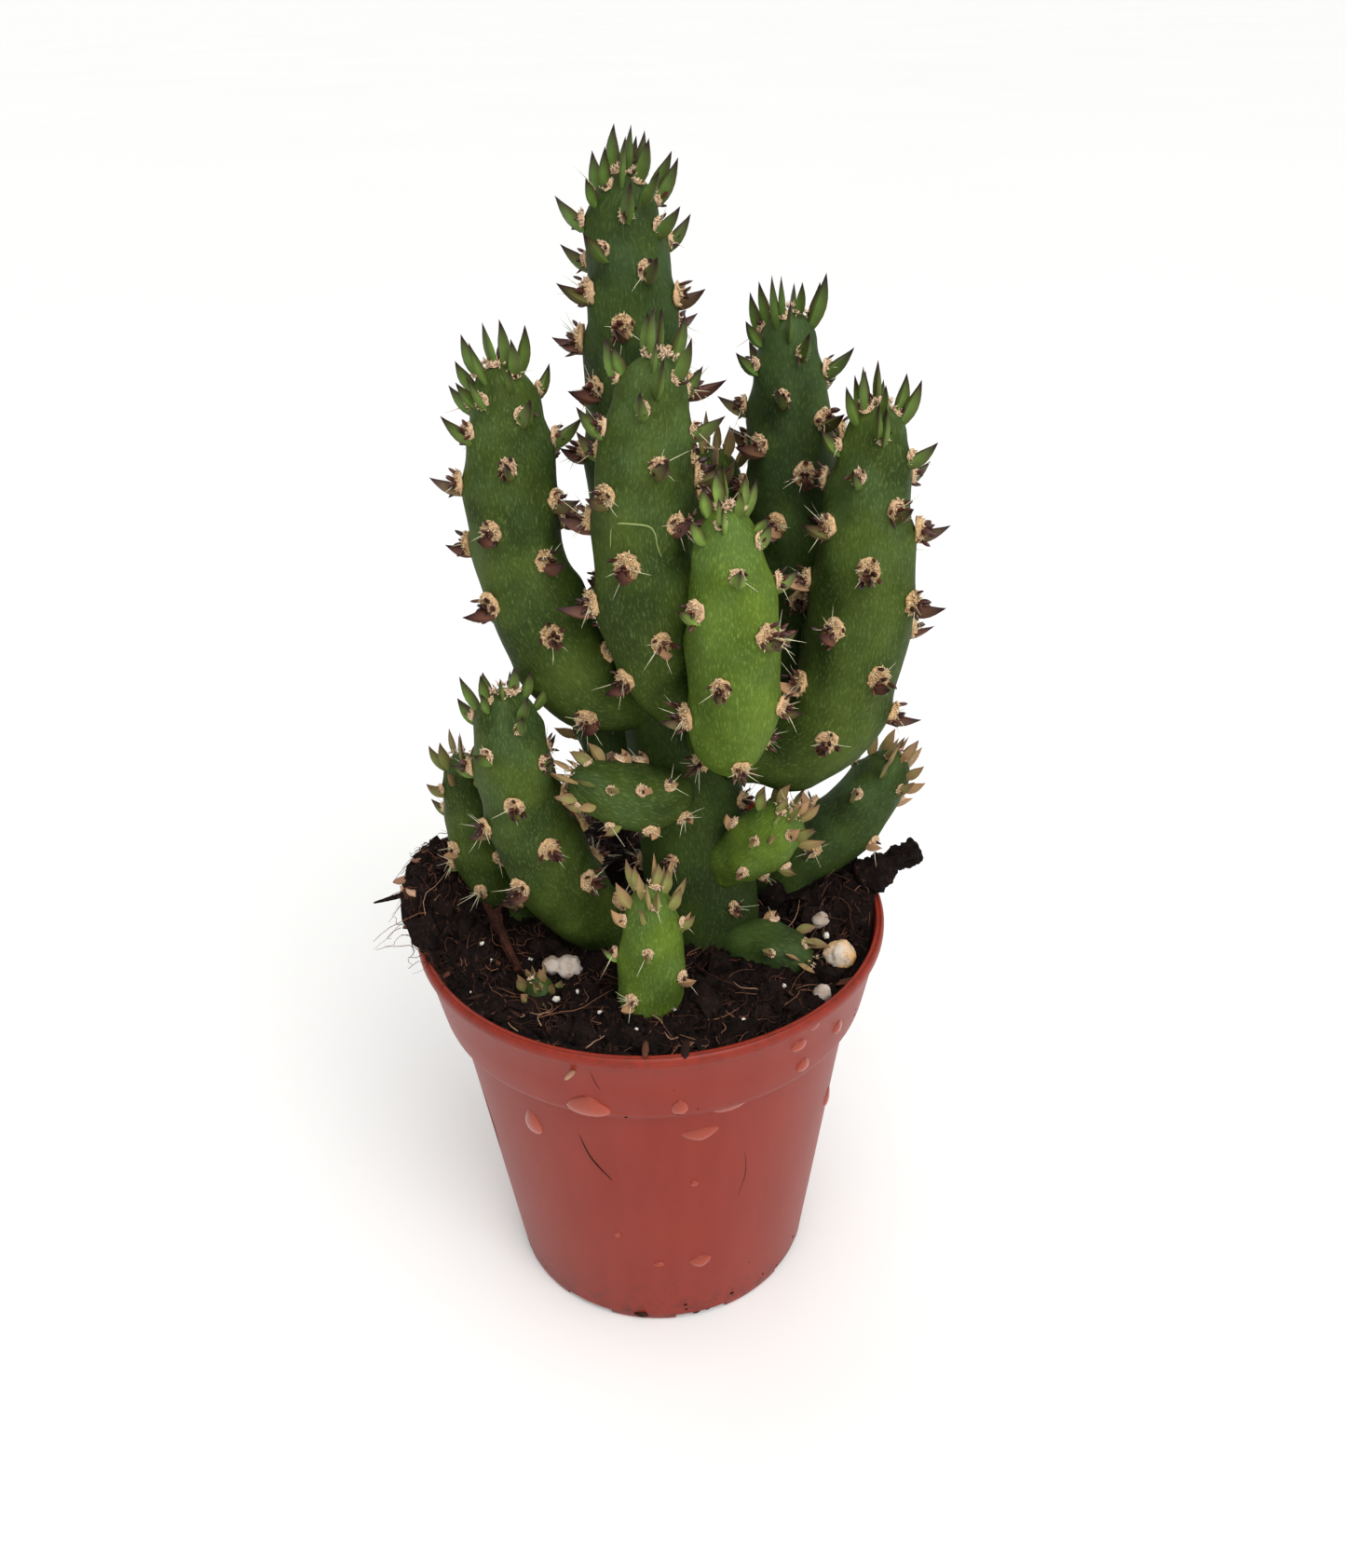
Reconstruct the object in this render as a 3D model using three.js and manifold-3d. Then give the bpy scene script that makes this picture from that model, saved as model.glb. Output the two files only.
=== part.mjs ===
// Potted eve's needle cactus in a small round nursery pot.
// Millimetres, +Z up. Origin: centre of the ground plane under the pot's foot; the viewer stands at -Y.
import * as THREE from "three";
import { mergeVertices } from "three/addons/utils/BufferGeometryUtils.js";
import Module from "manifold-3d";

const wasm = await Module();
wasm.setup();

// Driving dimensions of the pot
const POT_HEIGHT = 50;
const RIM_RADIUS = 27.5;
const LIP_HEIGHT = 1.2;
const LIP_PROUD = 0.5;
const COLLAR_HEIGHT = 10;
const COLLAR_FOOT_RADIUS = 25.5;
const SHOULDER_RADIUS = 23.9;
const FOOT_RADIUS = 18.9;
const FOOT_ROUND = 1.6;
const WALL = 1;
const FLOOR_LIFT = 1.4;
const FLOOR_THICKNESS = 1.2;
const POT_SIDES = 40;
const NOTCH_COUNT = 8;
const NOTCH_WIDTH = 6.5;
const NOTCH_HEIGHT = 1;
const NOTCH_FIRST_DEG = -76.5;
const DRAIN_RADIUS = 1.6;
const DRAIN_CIRCLE = 14.5;

// Driving dimensions of the potting soil
const CLEARANCE = 0.3;
const SOIL_LEVEL = 47.3;
const SOIL_SIDES = 30;
const SOIL_RINGS = 6;
const SOIL_LUMP = 1.1;
const HEAP_RADIUS = 28.2;
const HEAP_FARTHEST = 29.8;
const HEAP_BEARING_DEG = 172;

// Driving dimensions of areoles, leaves and spines
const STEM_SIDES = 9;
const RING_STEP = 5.5;
const DOME_ZONE = 2;
const DOME_SHARE = 0.45;
const CUSHION_RADIUS = 1.35;
const CUSHION_HEIGHT = 0.75;
const CUSHION_FROM = 2.4;
const LEAF_HALF_WIDTH = 0.9;
const LEAF_HALF_THICKNESS = 1;
const LONG_LEAF = 3.9;
const SHORTEST_LEAF = 1.3;
const NEEDLE_LENGTH = 3.2;
const NEEDLE_HALF_WIDTH = 0.3;
const NEEDLE_EVERY = 5;
const BELLY_OUT = 0.1;
const ROOT_DEPTH = 0.8;
const FREE_GAP = 0.4;
const SOIL_FREE = 1.1;

// Each stem: axis points with the radius there (x, y, z, r) from foot to tip, then how its areoles wind.
// turn is the winding sense, divergence the angle from one areole to the next and phase the first one's
// bearing, in degrees; pitch and crowd give their distance from the tip, pitch times the number to the
// power crowd; leafTop and leafFoot are leaf lengths.
const STEMS = [
  {
    name: "main_stem",
    color: 0x3d6b3c,
    axis: [
      [6.5, 0.5, 39.5, 4.5], [6.5, 0.5, 43, 6], [6.5, 0.5, 48, 6.5], [5.5, 0.5, 59, 6.5],
      [4, 1, 71, 6], [2.5, 1.5, 83.5, 5.5], [1, 2, 96.5, 5.5], [0.5, 2, 109, 5],
      [0.5, 2, 120, 4], [0, 2, 125.5, 3.5], [0.5, 2, 129, 2.5],
    ],
    turn: 1, divergence: 137.3, phase: 345, pitch: 0.043, crowd: 1.84, leafTop: 4.2, leafFoot: 3.8,
  },
  {
    name: "branch_front_left",
    color: 0x55802f,
    axis: [
      [3.6, -3.5, 78.4, 2.4], [2.2, -6.8, 83, 3.6], [1, -8.5, 91, 5], [0.5, -8.5, 98.5, 4.5],
      [1, -8.5, 106, 4.5], [2, -8.5, 112, 3.5], [2.5, -8.5, 115, 2.5],
    ],
    turn: -1, divergence: 138.7, phase: 320, pitch: 0.309, crowd: 1.39, leafTop: 4.2, leafFoot: 3.8,
  },
  {
    name: "branch_left",
    color: 0x517b34,
    axis: [
      [0, -1.2, 77.5, 2.5], [-3.3, -2.6, 78.7, 3.6], [-5.9, -3, 80.2, 4.3], [-8, -2.8, 83.8, 4.8],
      [-10, -2.3, 88.5, 5], [-12, -2, 96, 4.5], [-12, -2, 103.5, 4.5], [-12, -1.5, 109.5, 3.5],
      [-12.5, -1.5, 113, 2.5],
    ],
    turn: 1, divergence: 139.2, phase: 353, pitch: 0.096, crowd: 1.71, leafTop: 3.9, leafFoot: 3.7,
  },
  {
    name: "branch_front",
    color: 0x6a9a32,
    axis: [
      [6.6, -3.2, 74.4, 2.4], [8.3, -7, 75.8, 3], [8.7, -10.8, 78.2, 4], [9, -13.2, 83.5, 4.5],
      [9, -13.7, 90, 4.5], [8.7, -13.6, 95.5, 4], [8.5, -13.5, 100, 3], [8.5, -13.5, 102.5, 2],
    ],
    turn: -1, divergence: 138.2, phase: 254, pitch: 0.203, crowd: 1.58, leafTop: 3.2, leafFoot: 3,
  },
  {
    name: "branch_right_back",
    color: 0x3b6a42,
    axis: [
      [9, 3, 70, 2.5], [11.5, 4, 70.5, 2.6], [14.2, 5.4, 73.4, 3.6], [16.5, 6.3, 78.5, 4.5],
      [17.5, 6.6, 86, 5], [17, 6.4, 95.5, 5], [16.5, 6, 104, 4.5], [16, 5.7, 110.5, 3.5],
      [16, 5.5, 115.5, 2.5],
    ],
    turn: 1, divergence: 137.6, phase: 325, pitch: 0.52, crowd: 1.18, leafTop: 4.1, leafFoot: 3.7,
  },
  {
    name: "branch_right",
    color: 0x4a7a36,
    axis: [
      [9, -1.5, 70.5, 2.5], [12.5, -2.6, 71, 3], [16, -3.2, 72, 4.3], [20, -3.6, 75.5, 5],
      [22, -3.6, 82.5, 5.4], [23, -3.5, 90, 5.4], [23, -3.5, 98, 4.5], [23.5, -3.5, 104.5, 3.5],
      [23.5, -3.5, 108.5, 2.5],
    ],
    turn: 1, divergence: 137.9, phase: 171, pitch: 0.163, crowd: 1.56, leafTop: 3.9, leafFoot: 3.9,
  },
  {
    name: "branch_back",
    color: 0x4a7738,
    axis: [
      [5.5, 4, 80, 2.3], [7.6, 6.6, 82.5, 2.7], [8.3, 8.6, 88.5, 3.3], [8.3, 9.6, 95, 3.6],
      [8.3, 9.8, 99, 3.3], [8.3, 9.8, 101, 2.3],
    ],
    turn: -1, divergence: 137.5, phase: 40, pitch: 0.3, crowd: 1.35, leafTop: 3.2, leafFoot: 2.8,
  },
  {
    name: "shoot_lower_left",
    color: 0x55852f,
    axis: [
      [-3.2, -1, 40.5, 2.3], [-3.4, -1.2, 44, 3], [-4.6, -1.7, 48, 3.6], [-8, -2.7, 52.2, 4.4],
      [-10.8, -4.2, 58.5, 4.8], [-12.8, -5.9, 66, 4.5], [-13.8, -7.6, 74.5, 4], [-14, -8.2, 79.5, 3.4],
      [-14, -8.3, 82, 2.5],
    ],
    turn: -1, divergence: 138.5, phase: 82, pitch: 0.31, crowd: 1.43, leafTop: 3.2, leafFoot: 2.8,
  },
  {
    name: "shoot_far_left",
    color: 0x4f7d38,
    axis: [
      [-14, 3, 41.5, 2], [-14.6, 3, 44.5, 2.6], [-15.8, 3, 48, 3], [-18.5, 2.5, 53, 3],
      [-20, 2, 59, 3], [-20.5, 1.5, 65.5, 2.5], [-20.5, 1, 70, 2],
    ],
    turn: -1, divergence: 139.2, phase: 79, pitch: 2.2, crowd: 0.82, leafTop: 2.8, leafFoot: 2.4,
  },
  {
    name: "bud_left",
    color: 0x5d8b2e,
    axis: [
      [3, -4.5, 68, 2.3], [1.5, -7, 69, 3], [-0.8, -8.8, 70, 3.5], [-3.4, -9.8, 71.4, 3.3],
      [-5.6, -10.3, 72.8, 2.8], [-6.9, -10.4, 73.6, 2.2],
    ],
    turn: -1, divergence: 141.1, phase: 236, pitch: 0.5, crowd: 1.08, leafTop: 2.4, leafFoot: 2,
  },
  {
    name: "bud_right",
    color: 0x6b9a34,
    axis: [
      [8.5, -3.2, 57.5, 2.4], [10.3, -5.2, 60, 3], [12.4, -6.9, 62.8, 3.5], [14, -8, 65.2, 3.2],
      [14.9, -8.6, 66.9, 2.4],
    ],
    turn: -1, divergence: 138.5, phase: 73, pitch: 0.116, crowd: 1.68, leafTop: 2.6, leafFoot: 2.2,
  },
  {
    name: "shoot_front",
    color: 0x639a33,
    axis: [
      [-0.5, -15, 41.5, 2.3], [-0.5, -15, 44.5, 3], [-0.5, -15, 48.5, 3.5], [0, -15, 53.5, 3.5],
      [0, -15, 58.5, 3], [0, -15, 62, 2],
    ],
    turn: 1, divergence: 139.3, phase: 97, pitch: 0.245, crowd: 1.54, leafTop: 3.1, leafFoot: 2.6,
  },
  {
    name: "shoot_far_right",
    color: 0x436f3a,
    axis: [
      [16, 5, 41.5, 1.9], [16, 5, 45, 2.1], [16, 4.4, 49, 2.6], [18, 4.4, 52.4, 3.3],
      [21.5, 5, 55, 3.9], [25, 5.5, 58.8, 3.9], [28, 6, 62.8, 3.2], [29.3, 6, 65, 2.4],
    ],
    turn: -1, divergence: 141.5, phase: 88, pitch: 0.224, crowd: 1.72, leafTop: 2.8, leafFoot: 2.4,
  },
  {
    name: "shoot_low_stub",
    color: 0x3f6e3a,
    axis: [
      [9, -3.6, 46.6, 2.2], [11, -5, 47.6, 2.7], [13.4, -6.6, 48.2, 3], [15.8, -8.2, 48.2, 2.8],
      [17.2, -9.1, 47.9, 2.2],
    ],
    turn: 1, divergence: 141.2, phase: 352, pitch: 0.29, crowd: 1.36, leafTop: 2.2, leafFoot: 1.8,
  },
  {
    name: "sprout_tiny",
    color: 0x5c8730,
    axis: [
      [-12.7, -12.4, 43.5, 1.3], [-12.7, -12.4, 46, 1.7], [-12.8, -12.6, 48.2, 1.8],
      [-12.9, -12.8, 49.2, 1.4],
    ],
    turn: 1, divergence: 137.5, phase: 20, pitch: 0.9, crowd: 1.1, leafTop: 1.6, leafFoot: 1.4,
  },
  {
    name: "bud_back",
    color: 0x47733a,
    axis: [
      [2.6, 4.6, 63, 2.3], [0, 6.2, 64.4, 3], [-2.6, 7.2, 66.8, 3.2], [-5, 7.8, 69.8, 3],
      [-6.8, 8, 72.4, 2.2],
    ],
    turn: 1, divergence: 138.1, phase: 60, pitch: 0.42, crowd: 1.15, leafTop: 2.4, leafFoot: 2,
  },
];

// Stems whose foot grows out of the trunk and is parted from it by the clearance
const ON_TRUNK = [
  "branch_front_left", "branch_left", "branch_front", "branch_right_back", "branch_right", "branch_back",
  "bud_left", "bud_right", "shoot_low_stub", "bud_back",
];

// Small things in the soil: centre, half sizes along the piece, turn about Z and tilt in degrees
const GRAINS = [
  {
    name: "perlite_left", centre: [-10.2, -9, 48.4], half: [2.6, 1.7, 1.5],
    yaw: -8, tilt: 0, color: 0xd9cfc4,
  },
  {
    name: "perlite_right", centre: [21.3, -9.6, 48.9], half: [1.9, 2, 1.8],
    yaw: 20, tilt: 10, color: 0xdcb070,
  },
  {
    name: "perlite_small", centre: [18.4, -16, 48.4], half: [1.1, 0.9, 1.4],
    yaw: 0, tilt: 8, color: 0xdcd6cf,
  },
  {
    name: "perlite_far", centre: [19.8, -3.6, 49.4], half: [1.2, 1, 1],
    yaw: 30, tilt: 0, color: 0xcfc6bd,
  },
];
const PEAT_CHUNK = { from: [24.5, 0.8, 51.9], to: [32.5, 3.6, 54], radius: 1.6, color: 0x2a1c17 };
const ROOT_STRAND = { from: [-27.6, 2.8, 51.6], to: [-32.9, 1.6, 50.9], radius: 0.45, color: 0x241812 };
const DRY_STALK = { from: [-15.2, -9.6, 48.4], to: [-18.4, -2.8, 52.4], radius: 0.9, color: 0x6d4433 };

// The chips by name; their rings have few sides, dented by draws that start from the seed
const CHIPS = [["peat_chunk", PEAT_CHUNK], ["dry_stalk", DRY_STALK], ["root_strand", ROOT_STRAND]];
const CHIP_SEED = 31;
const CHIP_SIDES = 6;

// Mounds of the soil surface: centre, spread and height over the level
const MOUNDS = [
  { x: -26.5, y: 4, spread: 8.5, height: 6 },
  { x: -21, y: 13, spread: 9, height: 3.5 },
  { x: 23.5, y: 3, spread: 7, height: 4.4 },
  { x: 4, y: 22, spread: 11, height: 2.4 },
  { x: 0, y: -22, spread: 9, height: 0.8 },
  { x: -16, y: -12, spread: 5, height: -0.6 },
];

const UP = new THREE.Vector3(0, 0, 1);
const TOWARDS_VIEWER = new THREE.Vector3(0, -1, 0);
const SAMPLES = 120;
const radians = THREE.MathUtils.degToRad;

// A draw between 0 and 1 that is the same each time for the same pair of whole numbers
function draw(seed, index) {
  const wave = Math.sin(seed * 127.1 + index * 311.7) * 43758.5453;
  return wave - Math.floor(wave);
}

// The geometry with its positions alone, and shared vertices merged
function mergedBare(geometry) {
  const bare = geometry.clone();
  bare.deleteAttribute("normal");
  bare.deleteAttribute("uv");
  return mergeVertices(bare);
}

// A closed geometry as a solid that can be joined and cut
function toSolid(geometry) {
  const merged = mergedBare(geometry);
  return new wasm.Manifold(
    new wasm.Mesh({
      numProp: 3,
      vertProperties: merged.attributes.position.array,
      triVerts: new Uint32Array(merged.index.array),
    }),
  );
}

function toGeometry(solid) {
  const mesh = solid.getMesh();
  const geometry = new THREE.BufferGeometry();
  geometry.setAttribute("position", new THREE.BufferAttribute(mesh.vertProperties, 3));
  geometry.setIndex(new THREE.BufferAttribute(mesh.triVerts, 1));
  geometry.computeVertexNormals();
  return geometry;
}

// The largest of the bodies that a cut leaves, so that no scrap stays
function largestBody(solid) {
  return solid.decompose().reduce((best, body) => (body.volume() > best.volume() ? body : best));
}

// A closed skin over rings of points that all have the same number of sides; a ring of one point is a pole
function skinRings(rings) {
  const positions = [];
  const push = (...points) => points.forEach((p) => positions.push(p.x, p.y, p.z));
  const sides = Math.max(...rings.map((ring) => ring.length));
  for (let i = 0; i + 1 < rings.length; i++) {
    for (let j = 0; j < sides; j++) {
      const next = (j + 1) % sides;
      const low = rings[i];
      const high = rings[i + 1];
      if (low.length === 1) push(low[0], high[next], high[j]);
      else if (high.length === 1) push(low[j], low[next], high[0]);
      else {
        push(low[j], low[next], high[next]);
        push(low[j], high[next], high[j]);
      }
    }
  }
  for (const [ring, flip] of [[rings[0], true], [rings[rings.length - 1], false]]) {
    for (let j = 1; j + 1 < ring.length; j++) {
      if (flip) push(ring[0], ring[j + 1], ring[j]);
      else push(ring[0], ring[j], ring[j + 1]);
    }
  }
  const geometry = new THREE.BufferGeometry();
  geometry.setAttribute("position", new THREE.Float32BufferAttribute(positions, 3));
  return mergeVertices(geometry);
}

// The stem's axis sampled from foot to tip: place, radius, direction, side vectors and the length left
function traceStem(stem) {
  const curve = new THREE.CatmullRomCurve3(
    stem.axis.map(([x, y, z]) => new THREE.Vector3(x, y, z)), false, "catmullrom", 0.5,
  );
  const girth = new THREE.CatmullRomCurve3(
    stem.axis.map((point) => new THREE.Vector3(point[3], 0, 0)), false, "catmullrom", 0.5,
  );
  const trace = [];
  for (let i = 0; i <= SAMPLES; i++) {
    trace.push({ at: curve.getPoint(i / SAMPLES), radius: girth.getPoint(i / SAMPLES).x });
  }
  trace.forEach((sample, i) => {
    const before = trace[Math.max(i - 1, 0)].at;
    const after = trace[Math.min(i + 1, SAMPLES)].at;
    sample.along = after.clone().sub(before).normalize();
  });
  const side = TOWARDS_VIEWER.clone();
  let left = 0;
  for (let i = SAMPLES; i >= 0; i--) {
    side.addScaledVector(trace[i].along, -side.dot(trace[i].along)).normalize();
    trace[i].side = side.clone();
    trace[i].across = trace[i].along.clone().cross(side);
    if (i < SAMPLES) left += trace[i].at.distanceTo(trace[i + 1].at);
    trace[i].left = left;
  }
  return trace;
}

// The sample at a given length from the tip, worked out between its two neighbours
function sampleAt(trace, fromTip) {
  let high = SAMPLES;
  while (high > 1 && trace[high - 1].left < fromTip) high--;
  const a = trace[high - 1];
  const b = trace[high];
  const share = THREE.MathUtils.clamp((fromTip - b.left) / (a.left - b.left), 0, 1);
  return {
    at: b.at.clone().lerp(a.at, share),
    radius: THREE.MathUtils.lerp(b.radius, a.radius, share),
    along: b.along.clone().lerp(a.along, share).normalize(),
    side: b.side.clone().lerp(a.side, share).normalize(),
    across: b.across.clone().lerp(a.across, share).normalize(),
  };
}

// The bare stem: rings of a few sides with a low dome at the tip; grow makes it thicker all over
function stemBody(trace, grow = 0) {
  const length = trace[0].left;
  const steps = Math.max(3, Math.round(length / RING_STEP));
  const ring = (sample, radius, lift) =>
    Array.from({ length: STEM_SIDES }, (_, j) => {
      const bearing = (2 * Math.PI * j) / STEM_SIDES;
      return sample.at
        .clone()
        .addScaledVector(sample.side, radius * Math.cos(bearing))
        .addScaledVector(sample.across, radius * Math.sin(bearing))
        .addScaledVector(sample.along, lift);
    });
  const foot = trace[0];
  const tip = trace[SAMPLES];
  const dome = tip.radius * DOME_SHARE;
  const rings = [ring(foot, foot.radius + grow, -grow)];
  for (let i = 1; i <= steps; i++) {
    const sample = sampleAt(trace, length * (1 - i / steps));
    rings.push(ring(sample, sample.radius + grow, 0));
  }
  rings.push(ring(tip, tip.radius * 0.72 + grow, dome * 0.7));
  rings.push([tip.at.clone().addScaledVector(tip.along, dome + grow)]);
  return toSolid(skinRings(rings));
}

function distanceFromTip(stem, index) {
  return stem.pitch * (index + 0.5) ** stem.crowd;
}

// Where the areole with this number sits: a spiral that winds down from the tip
function areolePlace(stem, trace, index) {
  const length = trace[0].left;
  const fromTip = distanceFromTip(stem, index);
  const bearing = radians(stem.phase + stem.turn * stem.divergence * index);
  const sample = sampleAt(trace, fromTip);
  const outward = sample.side
    .clone()
    .multiplyScalar(Math.cos(bearing))
    .addScaledVector(sample.across, Math.sin(bearing));
  const share = Math.min(1, fromTip / DOME_ZONE);
  const reach = sample.radius * Math.sqrt(1 - (1 - share) ** 2);
  const lift = sample.radius * DOME_SHARE * (1 - share);
  const at = sample.at.clone().addScaledVector(outward, reach).addScaledVector(sample.along, lift);
  const normal = sample.along.clone().multiplyScalar(1 - share).addScaledVector(outward, share).normalize();
  return { at, normal, outward, along: sample.along, fromTip, share: fromTip / length };
}

// Leaves at the tip stand nearly upright; lower ones lean out more and more
function leafLean(fromTip) {
  const { smoothstep } = THREE.MathUtils;
  return radians(8 + 38 * smoothstep(fromTip, 0, 4) + 24 * smoothstep(fromTip, 4, 14));
}

function leafLength(stem, place, seed, index) {
  const length = THREE.MathUtils.lerp(stem.leafTop, stem.leafFoot, place.share);
  return length * (0.85 + 0.3 * draw(seed, index));
}

// The leaf's middle line: root under the skin, belly and tip
function leafLine(place, length, lean) {
  const direction = (angle) =>
    place.along.clone().multiplyScalar(Math.cos(angle)).addScaledVector(place.outward, Math.sin(angle));
  const heel = place.at.clone().addScaledVector(place.along, -0.7 * Math.min(1, place.fromTip / DOME_ZONE));
  return {
    root: heel.clone().addScaledVector(place.normal, -ROOT_DEPTH),
    belly: heel.clone().addScaledVector(direction(lean + BELLY_OUT), length * 0.45),
    tip: heel.clone().addScaledVector(direction(lean), length),
    sideways: place.along.clone().cross(place.outward).normalize(),
    back: direction(lean - Math.PI / 2),
  };
}

// A three-sided awl: its flat side faces the stem, its keel faces away
function awl(line, length) {
  const section = (centre, width, thickness) => [
    centre.clone().addScaledVector(line.sideways, -width).addScaledVector(line.back, thickness * 0.5),
    centre.clone().addScaledVector(line.back, -thickness),
    centre.clone().addScaledVector(line.sideways, width).addScaledVector(line.back, thickness * 0.5),
  ];
  const rings = [section(line.root, LEAF_HALF_WIDTH * 0.8, LEAF_HALF_THICKNESS)];
  if (length > LONG_LEAF) rings.push(section(line.belly, LEAF_HALF_WIDTH, LEAF_HALF_THICKNESS));
  rings.push([line.tip]);
  return outwardSolid(skinRings(rings));
}

// A skin turned the right way round, whichever way its rings ran
function outwardSolid(geometry) {
  const solid = toSolid(geometry);
  if (solid.volume() > 0) return solid;
  const index = geometry.index.array;
  for (let i = 0; i < index.length; i += 3) [index[i + 1], index[i + 2]] = [index[i + 2], index[i + 1]];
  return toSolid(geometry);
}

// The woolly cushion of an areole: a low mound with its root under the skin
function cushion(place) {
  const sideways = place.along.clone().cross(place.normal).normalize();
  const upward = place.normal.clone().cross(sideways).normalize();
  const ring = [0, 1, 2].map((j) => {
    const bearing = (2 * Math.PI * (j + 0.25)) / 3;
    return place.at
      .clone()
      .addScaledVector(sideways, CUSHION_RADIUS * Math.cos(bearing))
      .addScaledVector(upward, CUSHION_RADIUS * Math.sin(bearing))
      .addScaledVector(place.normal, -ROOT_DEPTH * 0.6);
  });
  const top = place.at.clone().addScaledVector(place.normal, CUSHION_HEIGHT);
  return outwardSolid(skinRings([ring, [top]]));
}

// One straight spine out of a cushion
function needle(place, seed, index) {
  const swing = (draw(seed, index + 500) - 0.5) * 1.6;
  const sideways = place.along.clone().cross(place.normal).normalize();
  const direction = place.normal
    .clone()
    .addScaledVector(sideways, swing)
    .addScaledVector(place.along, -0.35)
    .normalize();
  const across = direction.clone().cross(UP).normalize();
  const other = direction.clone().cross(across);
  const base = place.at.clone().addScaledVector(place.normal, -ROOT_DEPTH * 0.5);
  const ring = [0, 1, 2].map((j) => {
    const bearing = (2 * Math.PI * j) / 3;
    return base
      .clone()
      .addScaledVector(across, NEEDLE_HALF_WIDTH * Math.cos(bearing))
      .addScaledVector(other, NEEDLE_HALF_WIDTH * Math.sin(bearing));
  });
  const tip = place.at.clone().addScaledVector(direction, NEEDLE_LENGTH);
  return { solid: outwardSolid(skinRings([ring, [tip]])), tip, base: place.at };
}

// Height of the soil surface over a point of the ground plane
function soilHeight(x, y) {
  let height = SOIL_LEVEL;
  for (const mound of MOUNDS) {
    const away = ((x - mound.x) ** 2 + (y - mound.y) ** 2) / mound.spread ** 2;
    height += mound.height * Math.exp(-away);
  }
  return height;
}

// Balls along a protruding piece, used to keep it clear of the other stems
function ballsAlong(from, to, thick, thin) {
  return [0.25, 0.5, 0.75, 1].map((share) => ({
    at: from.clone().lerp(to, share),
    radius: THREE.MathUtils.lerp(thick, thin, share),
  }));
}

const traces = new Map(STEMS.map((stem) => [stem.name, traceStem(stem)]));
const placedBalls = [];

function clearOfOthers(name, balls) {
  for (const ball of balls) {
    if (ball.at.z - ball.radius < soilHeight(ball.at.x, ball.at.y) + CLEARANCE) return false;
    for (const [other, trace] of traces) {
      if (other === name) continue;
      for (let i = 0; i <= SAMPLES; i += 2) {
        const sample = trace[i];
        if (sample.at.distanceTo(ball.at) < sample.radius + ball.radius + FREE_GAP) return false;
      }
    }
    for (const placed of placedBalls) {
      if (placed.name === name) continue;
      if (placed.at.distanceTo(ball.at) < placed.radius + ball.radius + CLEARANCE) return false;
    }
    for (const thing of looseThings) {
      if (thing.at.distanceTo(ball.at) < thing.radius + ball.radius + CLEARANCE) return false;
    }
  }
  return true;
}

function keep(name, balls) {
  balls.forEach((ball) => placedBalls.push({ name, ...ball }));
}

// A leaf that would cross a neighbour is bent up towards its own stem and shortened until it is clear
function clearLeaf(stem, place, length) {
  const lean = leafLean(place.fromTip);
  for (const [raise, shorten] of [[0, 1], [0.2, 0.9], [0.35, 0.75], [0.5, 0.6], [0.2, 0.5]]) {
    const size = length * shorten;
    if (size < SHORTEST_LEAF) continue;
    const line = leafLine(place, size, Math.max(0.1, lean - raise));
    const balls = [
      ...ballsAlong(line.root, line.belly, LEAF_HALF_WIDTH, LEAF_HALF_WIDTH),
      ...ballsAlong(line.belly, line.tip, LEAF_HALF_WIDTH, 0.1),
    ];
    if (clearOfOthers(stem.name, balls)) return { line, size, balls };
  }
  return null;
}

// A stem with its cushions, leaves and spines joined into one body
function dressedStem(stem, seed) {
  const trace = traces.get(stem.name);
  let solid = stemBody(trace);
  if (ON_TRUNK.includes(stem.name)) {
    solid = largestBody(solid.subtract(stemBody(traces.get("main_stem"), CLEARANCE)));
  }
  for (let index = 0; distanceFromTip(stem, index) < trace[0].left; index++) {
    const place = areolePlace(stem, trace, index);
    if (place.at.z < soilHeight(place.at.x, place.at.y) + SOIL_FREE) continue;
    const pad = [{ at: place.at, radius: CUSHION_RADIUS }];
    if (!clearOfOthers(stem.name, pad)) continue;
    keep(stem.name, pad);
    if (place.fromTip > CUSHION_FROM) solid = solid.add(cushion(place));
    const leaf = clearLeaf(stem, place, leafLength(stem, place, seed, index));
    if (leaf) {
      solid = solid.add(awl(leaf.line, leaf.size));
      keep(stem.name, leaf.balls);
    }
    if (index % NEEDLE_EVERY === 2 && place.fromTip > CUSHION_FROM) {
      const spine = needle(place, seed, index);
      const balls = ballsAlong(spine.base, spine.tip, NEEDLE_HALF_WIDTH, NEEDLE_HALF_WIDTH);
      if (clearOfOthers(stem.name, balls)) {
        solid = solid.add(spine.solid);
        keep(stem.name, balls);
      }
    }
  }
  return solid;
}

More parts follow.
